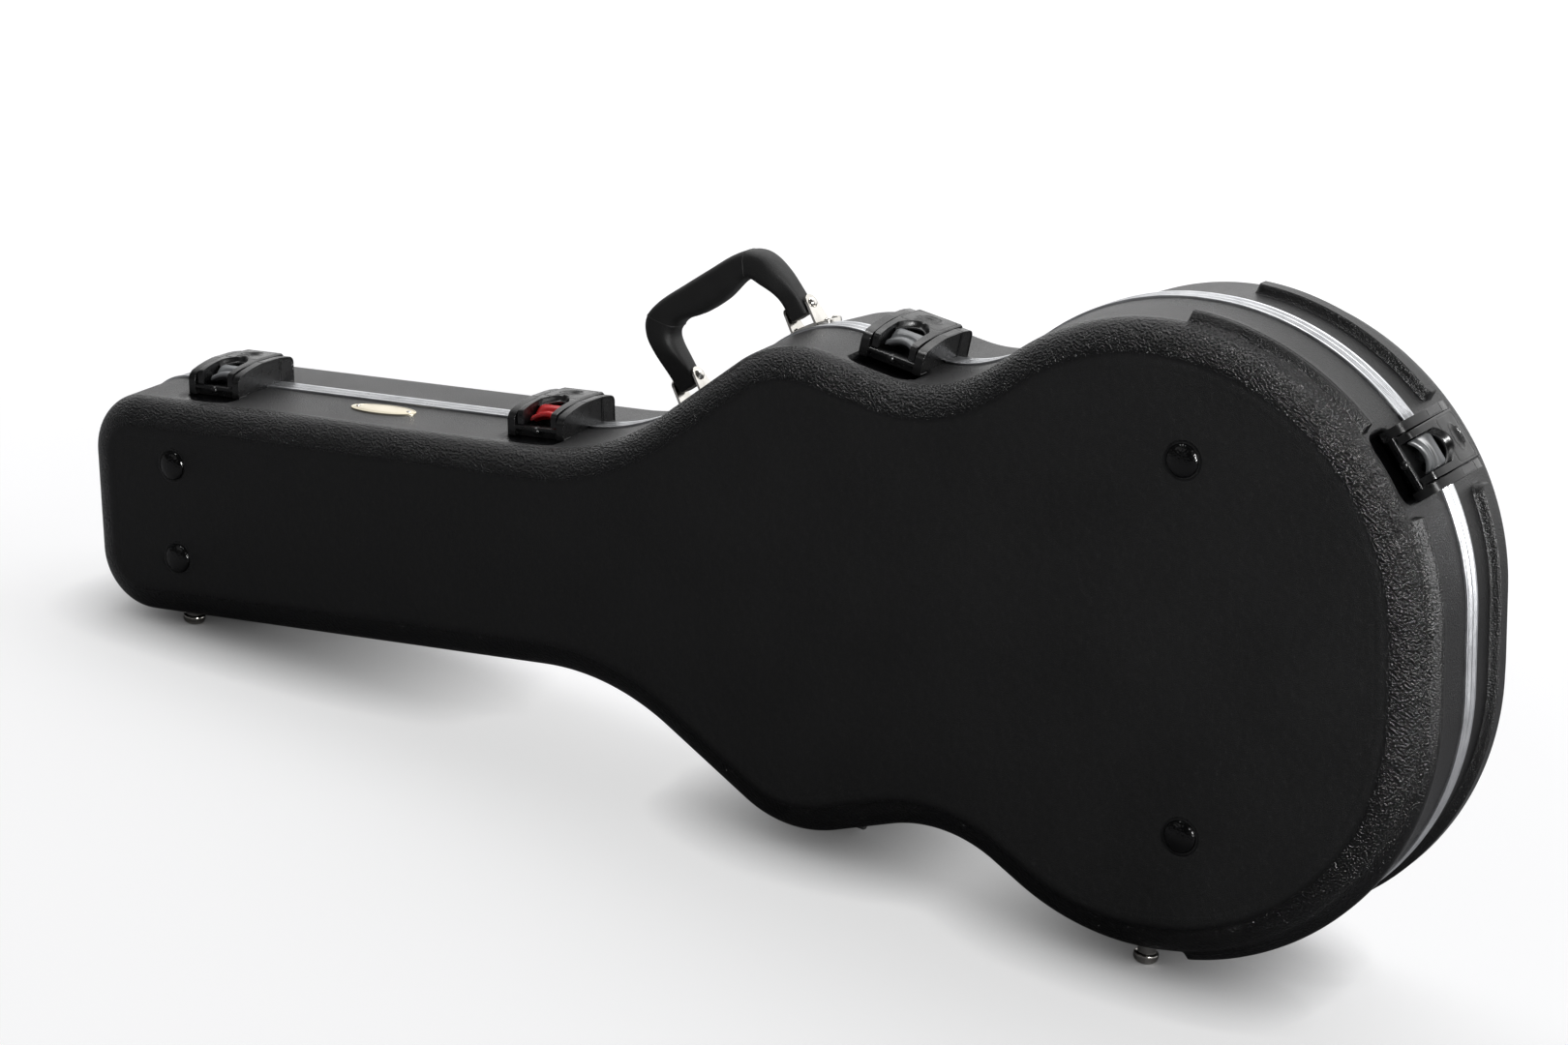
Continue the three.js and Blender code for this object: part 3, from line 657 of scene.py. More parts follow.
def outer_rings(half, outline):
    """(inset, depth) of the outer rings, from the rim to the panel."""
    rings = [(wall_inset(half, RIM) + 0.7, RIM), (wall_inset(half, RIM) + 0.15, RIM + 0.25)]
    rings.append((wall_inset(half, RIM), RIM + 0.8))
    rings += [(wall_inset(half, y), y) for y in wall_depths(half)]
    rings += [fillet_ring(half, 0, angle) for angle in np.radians(np.linspace(0, 90, 31)[1:])]
    shaped = []
    for inset, y in rings:
        inside = rib_border(half, outline, y)
        past_crest = y - RIB_DEPTH[half] - RIB_CREST[half]
        rib = smooth_step(inside / RIB_EDGE[half]) * smooth_step(1 - past_crest / RIB_FALL[half])
        groove = RIB_GROOVE[half] * np.exp(-((past_crest + GROOVE_BACK) / GROOVE_WIDE) ** 2)
        raised = inset + (np.minimum(inset, RIB_INSET[half] + groove) - inset) * rib
        shaped.append((raised + hollow_depth(half, outline, y), y))
    return shaped


def panel_rings(half):
    """A fine crease parts the pebbled edge from the grained panel."""
    inner = BAND_PROUD + DRAFT + FILLET_IN
    depth = DEPTH[half]
    return [(inner + 0.5, depth - 0.01), (inner + 1.2, depth - 0.06), (inner + 1.9, depth - 0.06),
            (inner + 2.6, depth - 0.01), (inner + 3.4, depth)]


def inner_rings(half, outline):
    """(inset, depth) of the rings inside the shell, from the panel's back to the rim."""
    rings = [fillet_ring(half, SHELL_WALL, angle) for angle in np.radians(np.linspace(90, 0, 9))]
    down = np.linspace(WALL_TOP[half], RIM + 0.6, 16)[1:]
    rings += [(wall_inset(half, y) + SHELL_WALL, y) for y in down]
    return [(inset + hollow_depth(half, outline, y), y) for inset, y in rings]


def dome_parts(half, x, z):
    """A rivet dome on the panel, with a thin step round its foot."""
    profile = [(0, DOME_HEIGHT)]
    for angle in np.linspace(0.06, math.pi / 2, 22):
        profile.append((DOME_RADIUS * math.sin(angle), DOME_HEIGHT * math.cos(angle) ** 0.9))
    profile += [(11.6, -0.25), (12.1, -0.3), (12.6, 0.12), (13.3, 0.14), (13.8, 0.0)]
    profile += [(13.8, -1.2), (0, -1.2)]
    facing = Matrix.Rotation(math.radians(-90 * SIDE[half]), 4, "X")
    return moved(lathe_parts(profile), Matrix.Translation((x, SIDE[half] * DEPTH[half], z)) @ facing)


def paint(piece, name, values):
    """A value at every vertex, for the shell's material to read."""
    attribute = piece.data.attributes.new(name, "FLOAT", "POINT")
    attribute.data.foreach_set("value", values)


def shell(half):
    """A moulded half with its domes, and what its material needs to know of every place on it."""
    side = SIDE[half]
    stack = [*inner_rings(half, OUTLINE), *outer_rings(half, OUTLINE), *panel_rings(half)]
    rings = [OUTLINE.ring(inset, side * y) for inset, y in stack]
    body = (np.concatenate(rings), stack_faces(rings))
    verts, faces = joined([body, *[dome_parts(half, x, z) for x, z in DOMES]])
    piece = body_from(f"{half}_shell_moulding", verts, faces, CASE)
    shape = len(body[0])
    depths = abs(verts[:shape, 1])
    up = (depths - WALL_TOP[half]) / FILLET_DEEP
    coarse = np.zeros(len(verts))
    pebble_start = smooth_step((depths - WALL_TOP[half] + 2) / 8)
    coarse[:shape] = pebble_start * smooth_step((0.997 - up) / 0.06)
    gloss = np.zeros(len(verts))
    gloss[shape:] = 1
    if half == "lid":
        along = np.tile(OUTLINE.s, len(rings))
        gloss[:shape] = 0.7 * sum(hollow_share(number, along, depths) for number in LATCH)
    panel = np.zeros(len(verts))
    panel[:shape] = smooth_step((up - 0.955) / 0.04)
    for name, values in (("coarse", coarse), ("gloss", gloss), ("panel", panel)):
        paint(piece, name, values)
    return settle(piece, half, "shell_plastic", MOULDED, replaces=[f"{half}_shell"])


def valance(half):
    """The grooved aluminium edge, with a leg that laps inside the shell."""
    face = 0.15
    outside = [(0.5, face), (0.15, face + 0.15), (0, face + 0.5)]
    for centre in (2.0, 3.8, 5.6):
        outside += [(0, centre - 0.5), (0.38, centre - 0.22), (0.38, centre + 0.22), (0, centre + 0.5)]
    outside += [(0, 6.9), (-0.25, 7.4), (-0.3, 8.1), (-0.1, 8.7), (0.4, BAND_HALF)]
    leg = BAND_WALL - 1.5
    lip, t0, t1 = (-1.2, 2.6, 3.4) if half == "lid" else (1.8, 1.9, 4.1)
    inside = [(leg, BAND_HALF), (leg, 16), (BAND_WALL, 16), (BAND_WALL, face)]
    inside += [(t1, face), (t1, lip), (t0, lip), (t0, face)]
    rings = [OUTLINE.ring(inset, SIDE[half] * y) for inset, y in [*outside, *inside]]
    piece = loft(f"{half}_valance_extrusion", rings, CASE, capped=False, sharp=30)
    return settle(piece, half, "aluminium", ALUMINIUM, replaces=[f"{half}_valance"])


def lining(half):
    """Plush-covered foam: soft rolled lip, full sides and a gently quilted floor."""
    top = WALL_TOP[half]
    back = LINING_INSET
    front = LINING_INSET + LINING
    stack = [fillet_ring(half, back, angle) for angle in np.radians(np.linspace(90, 0, 8))]
    stack += [(wall_inset(half, y) + back, y) for y in np.linspace(top, LINING_START + 2, 8)[1:]]
    middle = wall_inset(half, LINING_START) + (front + back) / 2
    for angle in np.radians(np.linspace(20, 160, 8)):
        stack.append((middle - LINING / 2 * math.cos(angle), LINING_START + 2 - 2 * math.sin(angle)))
    stack += [(wall_inset(half, y) + front, y) for y in np.linspace(LINING_START + 2, top, 12)]
    stack += [fillet_ring(half, front, angle) for angle in np.radians(np.linspace(0, 90, 12)[1:])]
    rings = []
    for inset, y in stack:
        wave = 0.25 * np.sin(SOFT_OUTLINE.s / 37.0 + y / 9) + 0.2 * np.sin(SOFT_OUTLINE.s / 14.3 - y / 7)
        hollow = hollow_depth(half, SOFT_OUTLINE, y)
        rings.append(SOFT_OUTLINE.ring(inset + wave + hollow, SIDE[half] * y))
    piece = loft(f"{half}_lining_plush", rings, CASE, sharp=60)
    settle(piece, half, "plush", PLUSH, replaces=[f"{half}_lining"])
    return piece


for half_name in HALVES:
    shell(half_name)
    valance(half_name)
    lining(half_name)


# ---------------------------------------------------------------- glides, domed screws
def glide(half, end):
    low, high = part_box(f"{half}_glide_{end}")
    profile = [(0, 0), (5, 0.1), (6.6, 0.7), (8.1, 2.0), (8.6, 3.2), (8.75, 4.2), (8.75, 6.2),
               (8.5, 6.8), (7.2, 7.2), (6.5, 7.8), (6.4, 9)]
    profile += [(6.4, (high.z - low.z) / MM + 1.5), (0, (high.z - low.z) / MM + 1.5)]
    foot = Matrix.Translation(((low.x + high.x) / 2, (low.y + high.y) / 2, low.z))
    piece = body_from(f"{half}_glide_{end}_turned", *lathe_parts(profile), foot @ Matrix.Scale(MM, 4))
    settle(piece, half, "nickel", NICKEL, replaces=[f"{half}_glide_{end}"])


for half_name in ("lid", "base"):
    for end_name in ("head", "bout"):
        glide(half_name, end_name)


def screw_parts(radius, height, slot_width=0.55):
    """A domed head with a cross recess."""
    turn = full_turn(64)
    rings = []
    for share in np.linspace(0.05, 1, 14):
        x, y = radius * share * np.cos(turn), radius * share * np.sin(turn)
        z = height * np.sqrt(np.clip(1 - 0.85 * share ** 4, 0, 1))
        arms = (np.minimum(abs(x), abs(y)) < slot_width / 2 + 0.1) & (np.hypot(x, y) < radius * 0.62)
        rings.append(np.stack((x, y, z - 0.55 * height * arms), 1))
    rings.append(rings[-1] * (1, 1, 0) + (0, 0, -0.6))
    return np.concatenate(rings), stack_faces(rings)


# ---------------------------------------------------------------- latches
def rail_floor(number, x):
    """The z at which a latch's foot is sunk into the wall, at y 0 and rising towards the edge."""
    return rim_height(LATCH[number], x) - 2.9


def rail_profile(floor):
    near = [(LATCH_NEAR, floor - 1.7), (LATCH_NEAR, 6.5), (-43.4, 9.0), (-42, 11.2), (-39.6, 13.2)]
    slope = [(-32, 15.6), (-24, 17.4), (-17.5, 18.5), (-14, 18.9)]
    return near + slope + [(5.6, 19.3), (LATCH_SPLIT - 0.2, 19.2), (LATCH_SPLIT - 0.2, floor)]


def catch_frame(number):
    """The lid's half of a latch: two rails, a bar across their near ends and a round boss."""
    parts = []
    panels = []
    for end in (-1, 1):
        profile = rail_profile(rail_floor(number, end * 22))
        x0, x1 = sorted((end * RAIL_INSIDE, end * LATCH_HALF))
        parts.append(prism(profile, x0, x1))
        panels.append(((end * LATCH_HALF, -18, 9), 1.5, -0.45))
        panels.append((((x0 + x1) / 2, -4.2, 19.1), 1.1, 0.22))
    low = rail_floor(number, 0) - 2.2
    bar = [(LATCH_NEAR, 0.6), (LATCH_NEAR, 2.6), (-43.4, 3.2), (-40.4, 3.2), (-39.4, 2.4), (-39.4, 0.6)]
    parts.append(prism(bar, -RAIL_INSIDE - 0.3, RAIL_INSIDE + 0.3))
    foot = [(-39.5, low), (-39.5, 1.5), (-1, 1.5), (-1, low + 2)]
    parts.append(prism(foot, -RAIL_INSIDE, RAIL_INSIDE))
    piece = with_panels(f"latch_{number}_catch_moulding", joined(parts), panels, LATCH[number])
    bevelled(piece, 0.45)
    node = f"latch_{number}_catch_frame"
    settle(piece, "lid", "latch_plastic", LATCH_BLACK, replaces=[node])
    facing = Matrix.Translation((0, LATCH_NEAR - 0.2, 0.4)) @ Matrix.Rotation(math.radians(90), 4, "X")
    domed = [(0, 1.5), (1.3, 1.4), (2.3, 0.9), (2.9, 0), (2.9, -4), (0, -4)]
    boss = moved(lathe_parts(domed, 32), facing)
    round_boss = body_from(f"latch_{number}_catch_boss", *boss, LATCH[number])
    settle(round_boss, "lid", "latch_plastic", LATCH_BLACK)


def hinge_block(number):
    """The base's half of a latch: two rounded rails on a plate."""
    start = LATCH_SPLIT + 0.35
    parts = []
    panels = []
    for end in (-1, 1):
        floor = rail_floor(number, end * 22)
        turns = np.linspace(0.25, 1.5, 7)
        arc = [(LATCH_FAR - 6 + 6 * math.sin(a), 13.0 + 5.2 * math.cos(a)) for a in turns]
        profile = [(start, floor), (start, 19.2), (12, 19.0), *arc, (LATCH_FAR, floor)]
        x0, x1 = sorted((end * RAIL_INSIDE, end * LATCH_HALF))
        parts.append(prism(profile, x0, x1))
        panels.append(((end * LATCH_HALF, 16, 9), 1.4, -0.4))
    low = rail_floor(number, 0)
    plate = [(start, low), (start, 2.9), (LATCH_FAR - 0.8, 2.9), (LATCH_FAR, 2.1), (LATCH_FAR, low)]
    parts.append(prism(plate, -RAIL_INSIDE, RAIL_INSIDE))
    piece = with_panels(f"latch_{number}_hinge_moulding", joined(parts), panels, LATCH[number])
    bevelled(piece, 0.45)
    settle(piece, "base", "latch_plastic", LATCH_BLACK, replaces=[f"latch_{number}_hinge_block"])


def arch_start(x):
    """The y at which the cover's plate starts behind the mouth."""
    share = np.clip(abs(x) / MOUTH_HALF, 0, 1)
    return MOUTH_DEEP + (MOUTH_SIDE - MOUTH_DEEP) * share ** 2


COVER_TOP = catmull([(-42, 11.3), (-40.8, 13.4), (-38, 14.8), (-30, 17), (-15, 19.2), (-2, 20),
                     (10, 20), (19, 20)], 8)
COVER_INSIDE = [(-39.5, 11), (-28, 14.4), (-13, 16.6), (0, 17.2), (6.8, 16.8)]
TAIL_START = math.radians(28)


def engraving(x, y):
    """Height of the marks on the cover's top: outline, hatching, key rings and slots."""
    qx = abs(x) - 12.8
    qy = abs(y - 3) - 10.6
    box = np.hypot(np.maximum(qx, 0), np.maximum(qy, 0)) + np.minimum(np.maximum(qx, qy), 0) - 3
    height = -0.32 * (1 - smooth_step((abs(box) - 0.15) / 0.35))
    hatched = (abs(x) < 7.6) & (y > -7.4) & (y < -2.6)
    ridges = 0.5 + 0.5 * np.sin((x + y) * 4.2) * np.sin((x - y) * 4.2)
    height = height + np.where(hatched, 0.3 * ridges - 0.12, 0)
    oval = np.hypot(x / 9.5, (y - LOCK_Y) / 5.7)
    height = height + 0.35 * (1 - smooth_step(abs(oval - 1) / 0.11))
    height = height - 1.5 * smooth_step((0.95 - oval) / 0.55)
    arc = abs(np.hypot(x, y - LOCK_Y + 3.5) - 11.2)
    slot = (1 - smooth_step((arc - 0.3) / 0.45)) * (1 - smooth_step((abs(x) - 5.6) / 0.8))
    return height - 0.75 * slot * (y > LOCK_Y)


def cover_grids():
    """Sample lines down the plate and round its tail, and across a leg and the mouth."""
    flat = np.linspace(MOUTH_SIDE, PLATE_END, 74)
    tail_angle = np.linspace(math.pi / 2 - TAIL_START, math.pi / 2, 9)[1:]
    lever = TAIL_RADIUS * np.sin(tail_angle)
    shares = np.linspace(0, 1, 9)
    mid = np.linspace(-MOUTH_HALF, MOUTH_HALF, 46)
    return flat, lever, shares, mid


def cover_heights(x, y, mouth_edge):
    """Top and underside heights. mouth_edge is the distance behind the mouth's arch."""
    top = np.interp(y, COVER_TOP[:, 0], COVER_TOP[:, 1])
    round_part = np.sqrt(np.clip(TAIL_RADIUS ** 2 - (y - PIN_Y) ** 2, 0, None))
    top = np.where(y > PLATE_END, PIN_Z + round_part, top)
    crown = 0.5 * (1 - (x / COVER_HALF) ** 2)
    top = top + crown * smooth_step((19.5 - y) / 6) - 0.7 * smooth_step((abs(x) - 16.9) / 1.1)
    top = top - 4.2 * (1 - smooth_step(mouth_edge / 4.6))
    top = top + engraving(x, y) * smooth_step((mouth_edge - 3.6) / 1.2) * (y < 18)
    bottom = np.where(y > PIN_Y, PIN_Z - round_part, 4.0)
    hollow = smooth_step((13.7 - abs(x)) / 0.6) * smooth_step((7.2 - y) / 0.8)
    hollow = hollow * smooth_step((y + 39.9) / 0.6)
    ceiling = np.interp(y, [p[0] for p in COVER_INSIDE], [p[1] for p in COVER_INSIDE])
    ceiling = np.minimum(ceiling, top - 1.2)
    return top, np.minimum(bottom + (ceiling - bottom) * hollow, top - 0.01)


def mouth_side(x):
    """Distance past the mouth's side, scaled so that the legs' slope is as steep as it looks."""
    return LEG_STEEPNESS * (abs(x) - MOUTH_HALF + LEG_LIP)


def cover_half_width(y):
    """The legs draw in a little towards their near ends."""
    return COVER_HALF - COVER_TAPER * np.clip((-8 - y) / 34, 0, 1)


def sheet_parts(rows):
    """A body from rows of points with the columns x, y, top height and underside height."""
    grid = np.array(rows)
    return slab_parts(grid[:, :, [0, 1, 2]], grid[:, :, [0, 1, 3]])


def cover(number):
    """The flip cover: a plate with an arched mouth, and a leg on each side of the mouth."""
    flat, lever, shares, mid = cover_grids()
    far = np.concatenate((flat, PIN_Y + lever[PIN_Y + lever > PLATE_END]))
    near = np.linspace(-42, MOUTH_SIDE, 26)[:-1]
    parts = []
    left = np.concatenate((-1 - shares[::-1][:-1], mid / MOUTH_HALF, 1 + shares[1:]))
    rows = []
    for y in far:
        outer = cover_half_width(y)
        beyond = np.clip(abs(left) - 1, 0, 1)
        x = np.sign(left) * (np.minimum(abs(left), 1) * MOUTH_HALF + beyond * (outer - MOUTH_HALF))
        start = arch_start(x)
        down = (y - MOUTH_SIDE) / (PLATE_END - MOUTH_SIDE)
        at = np.where(y <= PLATE_END, start + down * (PLATE_END - start), y)
        at = np.where(beyond > 0, y, at)
        edge = np.where(abs(x) < MOUTH_HALF + 0.01, at - start, 50 * np.ones_like(x))
        edge = np.where(abs(x) >= MOUTH_HALF - 0.01, np.maximum(edge, mouth_side(x)), edge)
        rows.append(np.stack((x, at, *cover_heights(x, at, edge)), 1))
    parts.append(sheet_parts(rows))
    for end in (-1, 1):
        rows = []
        for y in [*near, MOUTH_SIDE]:
            x = end * (MOUTH_HALF + shares * (cover_half_width(y) - MOUTH_HALF))
            heights = cover_heights(x, y, mouth_side(x))
            rows.append(np.stack((x, np.full_like(x, y), *heights), 1))
        parts.append(sheet_parts(rows))
    verts, faces = joined(parts)
    piece = body_from(f"latch_{number}_cover_moulding", verts, faces, LATCH[number], sharp=42)
    weld = bmesh.new()
    weld.from_mesh(piece.data)
    inner = [f for f in weld.faces if leg_seam(number, f)]
    bmesh.ops.delete(weld, geom=inner, context="FACES_ONLY")
    bmesh.ops.remove_doubles(weld, verts=weld.verts, dist=0.02 * MM)
    bmesh.ops.recalc_face_normals(weld, faces=weld.faces)
    weld.to_mesh(piece.data)
    weld.free()
    shade(piece.data, 42)
    settle(piece, f"latch_cover_{number}", "latch_plastic", LATCH_BLACK,
           replaces=[f"latch_{number}_cover"])


def leg_seam(number, face):
    """True for the walls between a leg and the plate, where the two are one piece."""
    change = LATCH[number].inverted()
    points = [change @ v.co for v in face.verts]
    return all(abs(p.y - MOUTH_SIDE) < 0.01 and abs(p.x) > MOUTH_HALF - 0.01 for p in points)


def lock(number):
    """A dished key plug with a crescent slot."""
    turn = full_turn(64)
    rings = []
    for share in np.linspace(0.04, 1, 22):
        x, y = LOCK_RADIUS * share * np.cos(turn), LOCK_RADIUS * share * np.sin(turn)
        crescent = abs(np.hypot(x, y + 3.2) - 5.0) < 0.55
        slot = crescent & (abs(x) < 3.1) & (y > 0)
        rings.append(np.stack((x, y, LOCK_TOP + 0.35 * share ** 2 - 1.2 * slot), 1))
    rings.append(rings[-1] * (1, 1, 0) + (0, 0, LOCK_BOTTOM))
    verts = np.concatenate(rings) + np.array((0, LOCK_Y, 0))
    piece = body_from(f"latch_{number}_lock_plug", verts, stack_faces(rings), LATCH[number])
    settle(piece, f"lock_{number}", "latch_plastic", LATCH_BLACK,
           replaces=[f"latch_{number}_lock_cylinder"])


TRIGGER_PROFILE = [
    (-15, 4.8), (-15, 9), (-15.2, 13.6), (-16.6, 14.6), (-20, 14.2), (-23.5, 12.9), (-25.8, 11.5),
    (-27.6, 11.2), (-29.4, 11.9), (-31.2, 11.6), (-32.6, 10.2), (-32.8, 8.6), (-31.4, 8.0),
    (-29.5, 8.5), (-27.5, 7.2), (-26, 5.6), (-23, 4.8), (-19, 4.6),
]


def trigger(number):
    """A hooked lever whose arched lip droops at its ends."""
    loop = catmull(TRIGGER_PROFILE, 4, closed=True)
    shares = np.concatenate(([-1, -0.985, -0.95], np.linspace(-0.9, 0.9, 25), [0.95, 0.985, 1]))
    middle = loop.mean(0)
    rings = []
    for share in shares:
        shrink = 1 - 0.12 * smooth_step((abs(share) - 0.9) / 0.1) ** 2
        y, z = ((loop - middle) * shrink + middle).T
        lip = smooth_step((-20 - y) / 8)
        z = z - 3.4 * share ** 2 * lip
        y = y + (5.0 * (1 - share ** 2) - 1.5) * lip
        rings.append(np.stack((np.full_like(y, share * TRIGGER_HALF), y, z), 1))
    piece = loft(f"latch_{number}_trigger_moulding", rings, LATCH[number], sharp=50)
    colour = "red" if number == 2 else "grey"
    settle(piece, f"trigger_{number}", f"trigger_{colour}", TRIGGER_PAINT[colour],
           replaces=[f"latch_{number}_trigger"])


for latch_number in LATCH:
    catch_frame(latch_number)
    hinge_block(latch_number)
    cover(latch_number)
    lock(latch_number)
    trigger(latch_number)


# ---------------------------------------------------------------- carrying handle
GRIP_STATIONS = [
    ((-65, -5), (-48.8, -5)), ((-66.6, 12), (-48.3, 11)), ((-67.6, 30), (-48.8, 27)),
    ((-66.4, 45), (-46.4, 34)), ((-58.5, 56.5), (-41, 37)), ((-42, 60.6), (-32, 38.6)),
    ((-15, 60.4), (-15, 35.2)), ((8, 59.8), (6, 34.8)), ((31, 58.9), (25, 38.4)),
    ((46.5, 55), (35, 37.2)), ((56.5, 46), (40.5, 29)), ((62, 30), (46.4, 19)),
    ((64.4, 12), (48.6, 10)), ((65, -5), (48.8, -5)),
]
GRIP_OUTER = catmull([a for a, _ in GRIP_STATIONS], 9)
GRIP_INNER = catmull([b for _, b in GRIP_STATIONS], 9)
LEG_THICK = 8
PAD_POWER = 0.64
LEG_POWER = 0.42
WELT_STATIONS = {"head": 37, "bout": 79}


def grip_section(outer, inner, thick, power, sides, out=1.0, shift=0.0):
    """A rounded box section of the grip, between a point on its outside and one on its inside."""
    turn = full_turn(sides)
    c = np.sign(np.cos(turn)) * abs(np.cos(turn)) ** power * out
    s = np.sign(np.sin(turn)) * abs(np.sin(turn)) ** power * out
    plane = (outer + inner) / 2 + c[:, None] * (outer - inner) / 2 + shift
    return np.stack((plane[:, 0], s * thick, plane[:, 1]), 1)


def grip():
    """Swept along the U of the handle: thick padded middle, flatter legs, finger waves below."""
    rings = []
    for a, b in zip(GRIP_OUTER, GRIP_INNER):
        share = smooth_step(((a + b)[1] / 2 - 8) / 26)
        thick = LEG_THICK + (GRIP_THICK - LEG_THICK) * share
        rings.append(grip_section(a, b, thick, LEG_POWER + (PAD_POWER - LEG_POWER) * share, 40))
    caps = []
    for end in (0, -1):
        centre = rings[end].mean(0)
        caps.append(centre + (rings[end] - centre) * 0.9 + (0, 0, -0.6))
    piece = loft("handle_grip_moulding", [caps[0], *rings, caps[1]], HANDLE, sharp=55)
    settle(piece, "handle", "grip_plastic", GRIP_BLACK, replaces=["handle_grip"])


def grip_seams():
    """Raised parting welts where the padded middle meets the legs."""
    for name, station in WELT_STATIONS.items():
        a, b = GRIP_OUTER[station], GRIP_INNER[station]
        across = (a - b) / 2
        along = np.array((-across[1], across[0])) / np.linalg.norm(across)
        rings = []
        for angle in full_turn(8):
            out = 1.0 + 0.028 * math.cos(angle)
            shift = along * 0.45 * math.sin(angle)
            rings.append(grip_section(a, b, GRIP_THICK, PAD_POWER, 72, out, shift))
        welt = loft(f"handle_grip_welt_{name}", rings, HANDLE, capped=False, sharp=60)
        settle(welt, "handle", "grip_plastic", GRIP_BLACK)


def skin_plate(s0, s1, y0, y1, base, top, corner, crown=0.0):
    """A plate that follows the outline between two distances, with rounded ends."""
    cols = np.linspace(s0, s1, 40)
    rows = np.linspace(-1, 1, 13)
    at, normal = outline_at(cols)
    inside = np.minimum(cols - s0, s1 - cols)
    bite = np.clip(1 - inside / corner, 0, 1)
    half = (y1 - y0) / 2 - corner * (1 - np.sqrt(1 - bite ** 2))
    sheets = []
    for level in (top, base):
        lift = level + (crown * (1 - rows[:, None] ** 2) if level == top else 0)
        lift = np.broadcast_to(lift, (len(rows), len(cols)))
        x = at[None, :, 0] + normal[None, :, 0] * lift
        z = at[None, :, 1] + normal[None, :, 1] * lift
        y = (y0 + y1) / 2 + rows[:, None] * half[None, :]
        sheets.append(np.stack((x, y, z), -1))
    return slab_parts(*sheets)


def handle_s(x):
    return s_of_x(to_case(HANDLE, (x, 0, -15)).x)


def bracket(label, end):
    """A strap over the edge, two ears and the screws."""
    inside, outside = (handle_s(end * x) for x in STRAP_REACH)
    parts = [skin_plate(*sorted((inside, outside)), 3.5, 24.5, -2.2, 2.0, 6, 0.25)]
    change = CASE.inverted() @ HANDLE
    for x0, x1 in EAR_PLANES:
        low = rim_height(HANDLE, end * (x0 + x1) / 2) - 1.5
        arc = [(6.6 * math.cos(a), 6.6 * math.sin(a)) for a in np.linspace(math.pi, 0, 19)]
        side = [(-9.5, low), (-9, low + 5), *arc, (9, low + 5), (9.5, low)]
        parts.append(moved(prism(side, *sorted((end * x0, end * x1))), change))
    piece = body_from(f"handle_bracket_{label}_strap", *joined(parts), CASE, sharp=32)
    bevelled(piece, 0.3, 2, 40)
    settle(piece, "base", "nickel", NICKEL, replaces=[f"handle_bracket_{label}"])
    heads = []
    for share in (0.12, 0.88):
        at, out = outline_at(inside + (outside - inside) * share)
        facing = Vector((out[0], 0, out[1])).to_track_quat("Z", "Y").to_matrix().to_4x4()
        for y in (8.5, 19.5):
            foot = Matrix.Translation((at[0] + out[0] * 2.2, y, at[1] + out[1] * 2.2))
            heads.append(moved(screw_parts(2.7, 1.3), foot @ facing))
    screws = body_from(f"handle_bracket_{label}_screws", *joined(heads), CASE)
    settle(screws, "base", "nickel", NICKEL)


def rivet(label, end):
    """Domed heads on both sides of a leg, joined by the shank."""
    a, b = RIVET_SPAN
    profile = [(0, b), (1.6, b - 0.15), (3.2, b - 0.9), (4.2, b - 2.2), (4.2, b - 2.5), (2.5, b - 2.6),
               (2.5, a + 2.5), (4.2, a + 2.4), (4.2, a + 2.1), (3.2, a + 0.9), (1.6, a + 0.15), (0, a)]
    facing = Matrix.Rotation(math.radians(90 * end), 4, "Y")
    piece = body_from(f"handle_rivet_{label}_domed", *moved(lathe_parts(profile), facing), HANDLE)
    settle(piece, "base", "nickel", NICKEL, replaces=[f"handle_rivet_{label}"])


grip()
grip_seams()
for bracket_label, bracket_end in (("head", -1), ("bout", 1)):
    bracket(bracket_label, bracket_end)
    rivet(bracket_label, bracket_end)


# ---------------------------------------------------------------- nameplate
def nameplate():
    """A blank oval plate with a turned-down edge and two small pins."""
    turn = full_turn(96)
    x0, y0 = PLATE_CENTRE
    wall = float(np.interp(s_of_x(x0), DENSE_S, DENSE_AT[:, 1]))
    slope = -DRAFT / (DEPTH["lid"] - FILLET_DEEP - BAND_HALF)

    def ring(scale, shrink, lift):
        x = x0 + (PLATE_SIZE[0] / 2 * scale - shrink) * np.cos(turn)
        y = y0 + (PLATE_SIZE[1] / 2 * scale - shrink) * np.sin(turn)
        tangent = np.interp(x, DENSE_AT[:, 0], DENSE_AT[:, 1]) - wall
        return np.stack((x, y, wall + tangent - BAND_PROUD - slope * (y + BAND_HALF) + lift), 1)

    rings = [ring(0.06, 0, 1.25), ring(0.5, 0, 1.25), ring(1, 2.6, 1.2), ring(1, 1.9, 0.85),
             ring(1, 1.4, 0.85), ring(1, 0.9, 1.15), ring(1, 0.3, 1.1), ring(1, 0, 0.7), ring(1, 0, -1)]
    plate = loft("nameplate_blank", rings, CASE, sharp=30)
    settle(plate, "lid", "nameplate_metal", CHAMPAGNE, replaces=["nameplate"])
    pins = []
    for x in (x0 - PLATE_PINS, x0 + PLATE_PINS):
        rim = float(np.interp(x, DENSE_AT[:, 0], DENSE_AT[:, 1]))
        height = rim - BAND_PROUD - slope * (y0 + BAND_HALF)
        pins.append(moved(screw_parts(1.7, 0.9, 0.4), Matrix.Translation((x, y0, height + 1.2))))
    settle(body_from("nameplate_pins", *joined(pins), CASE), "lid", "nickel", NICKEL)


nameplate()


# ---------------------------------------------------------------- soft fittings inside
CLOTH_FRAMES = 12


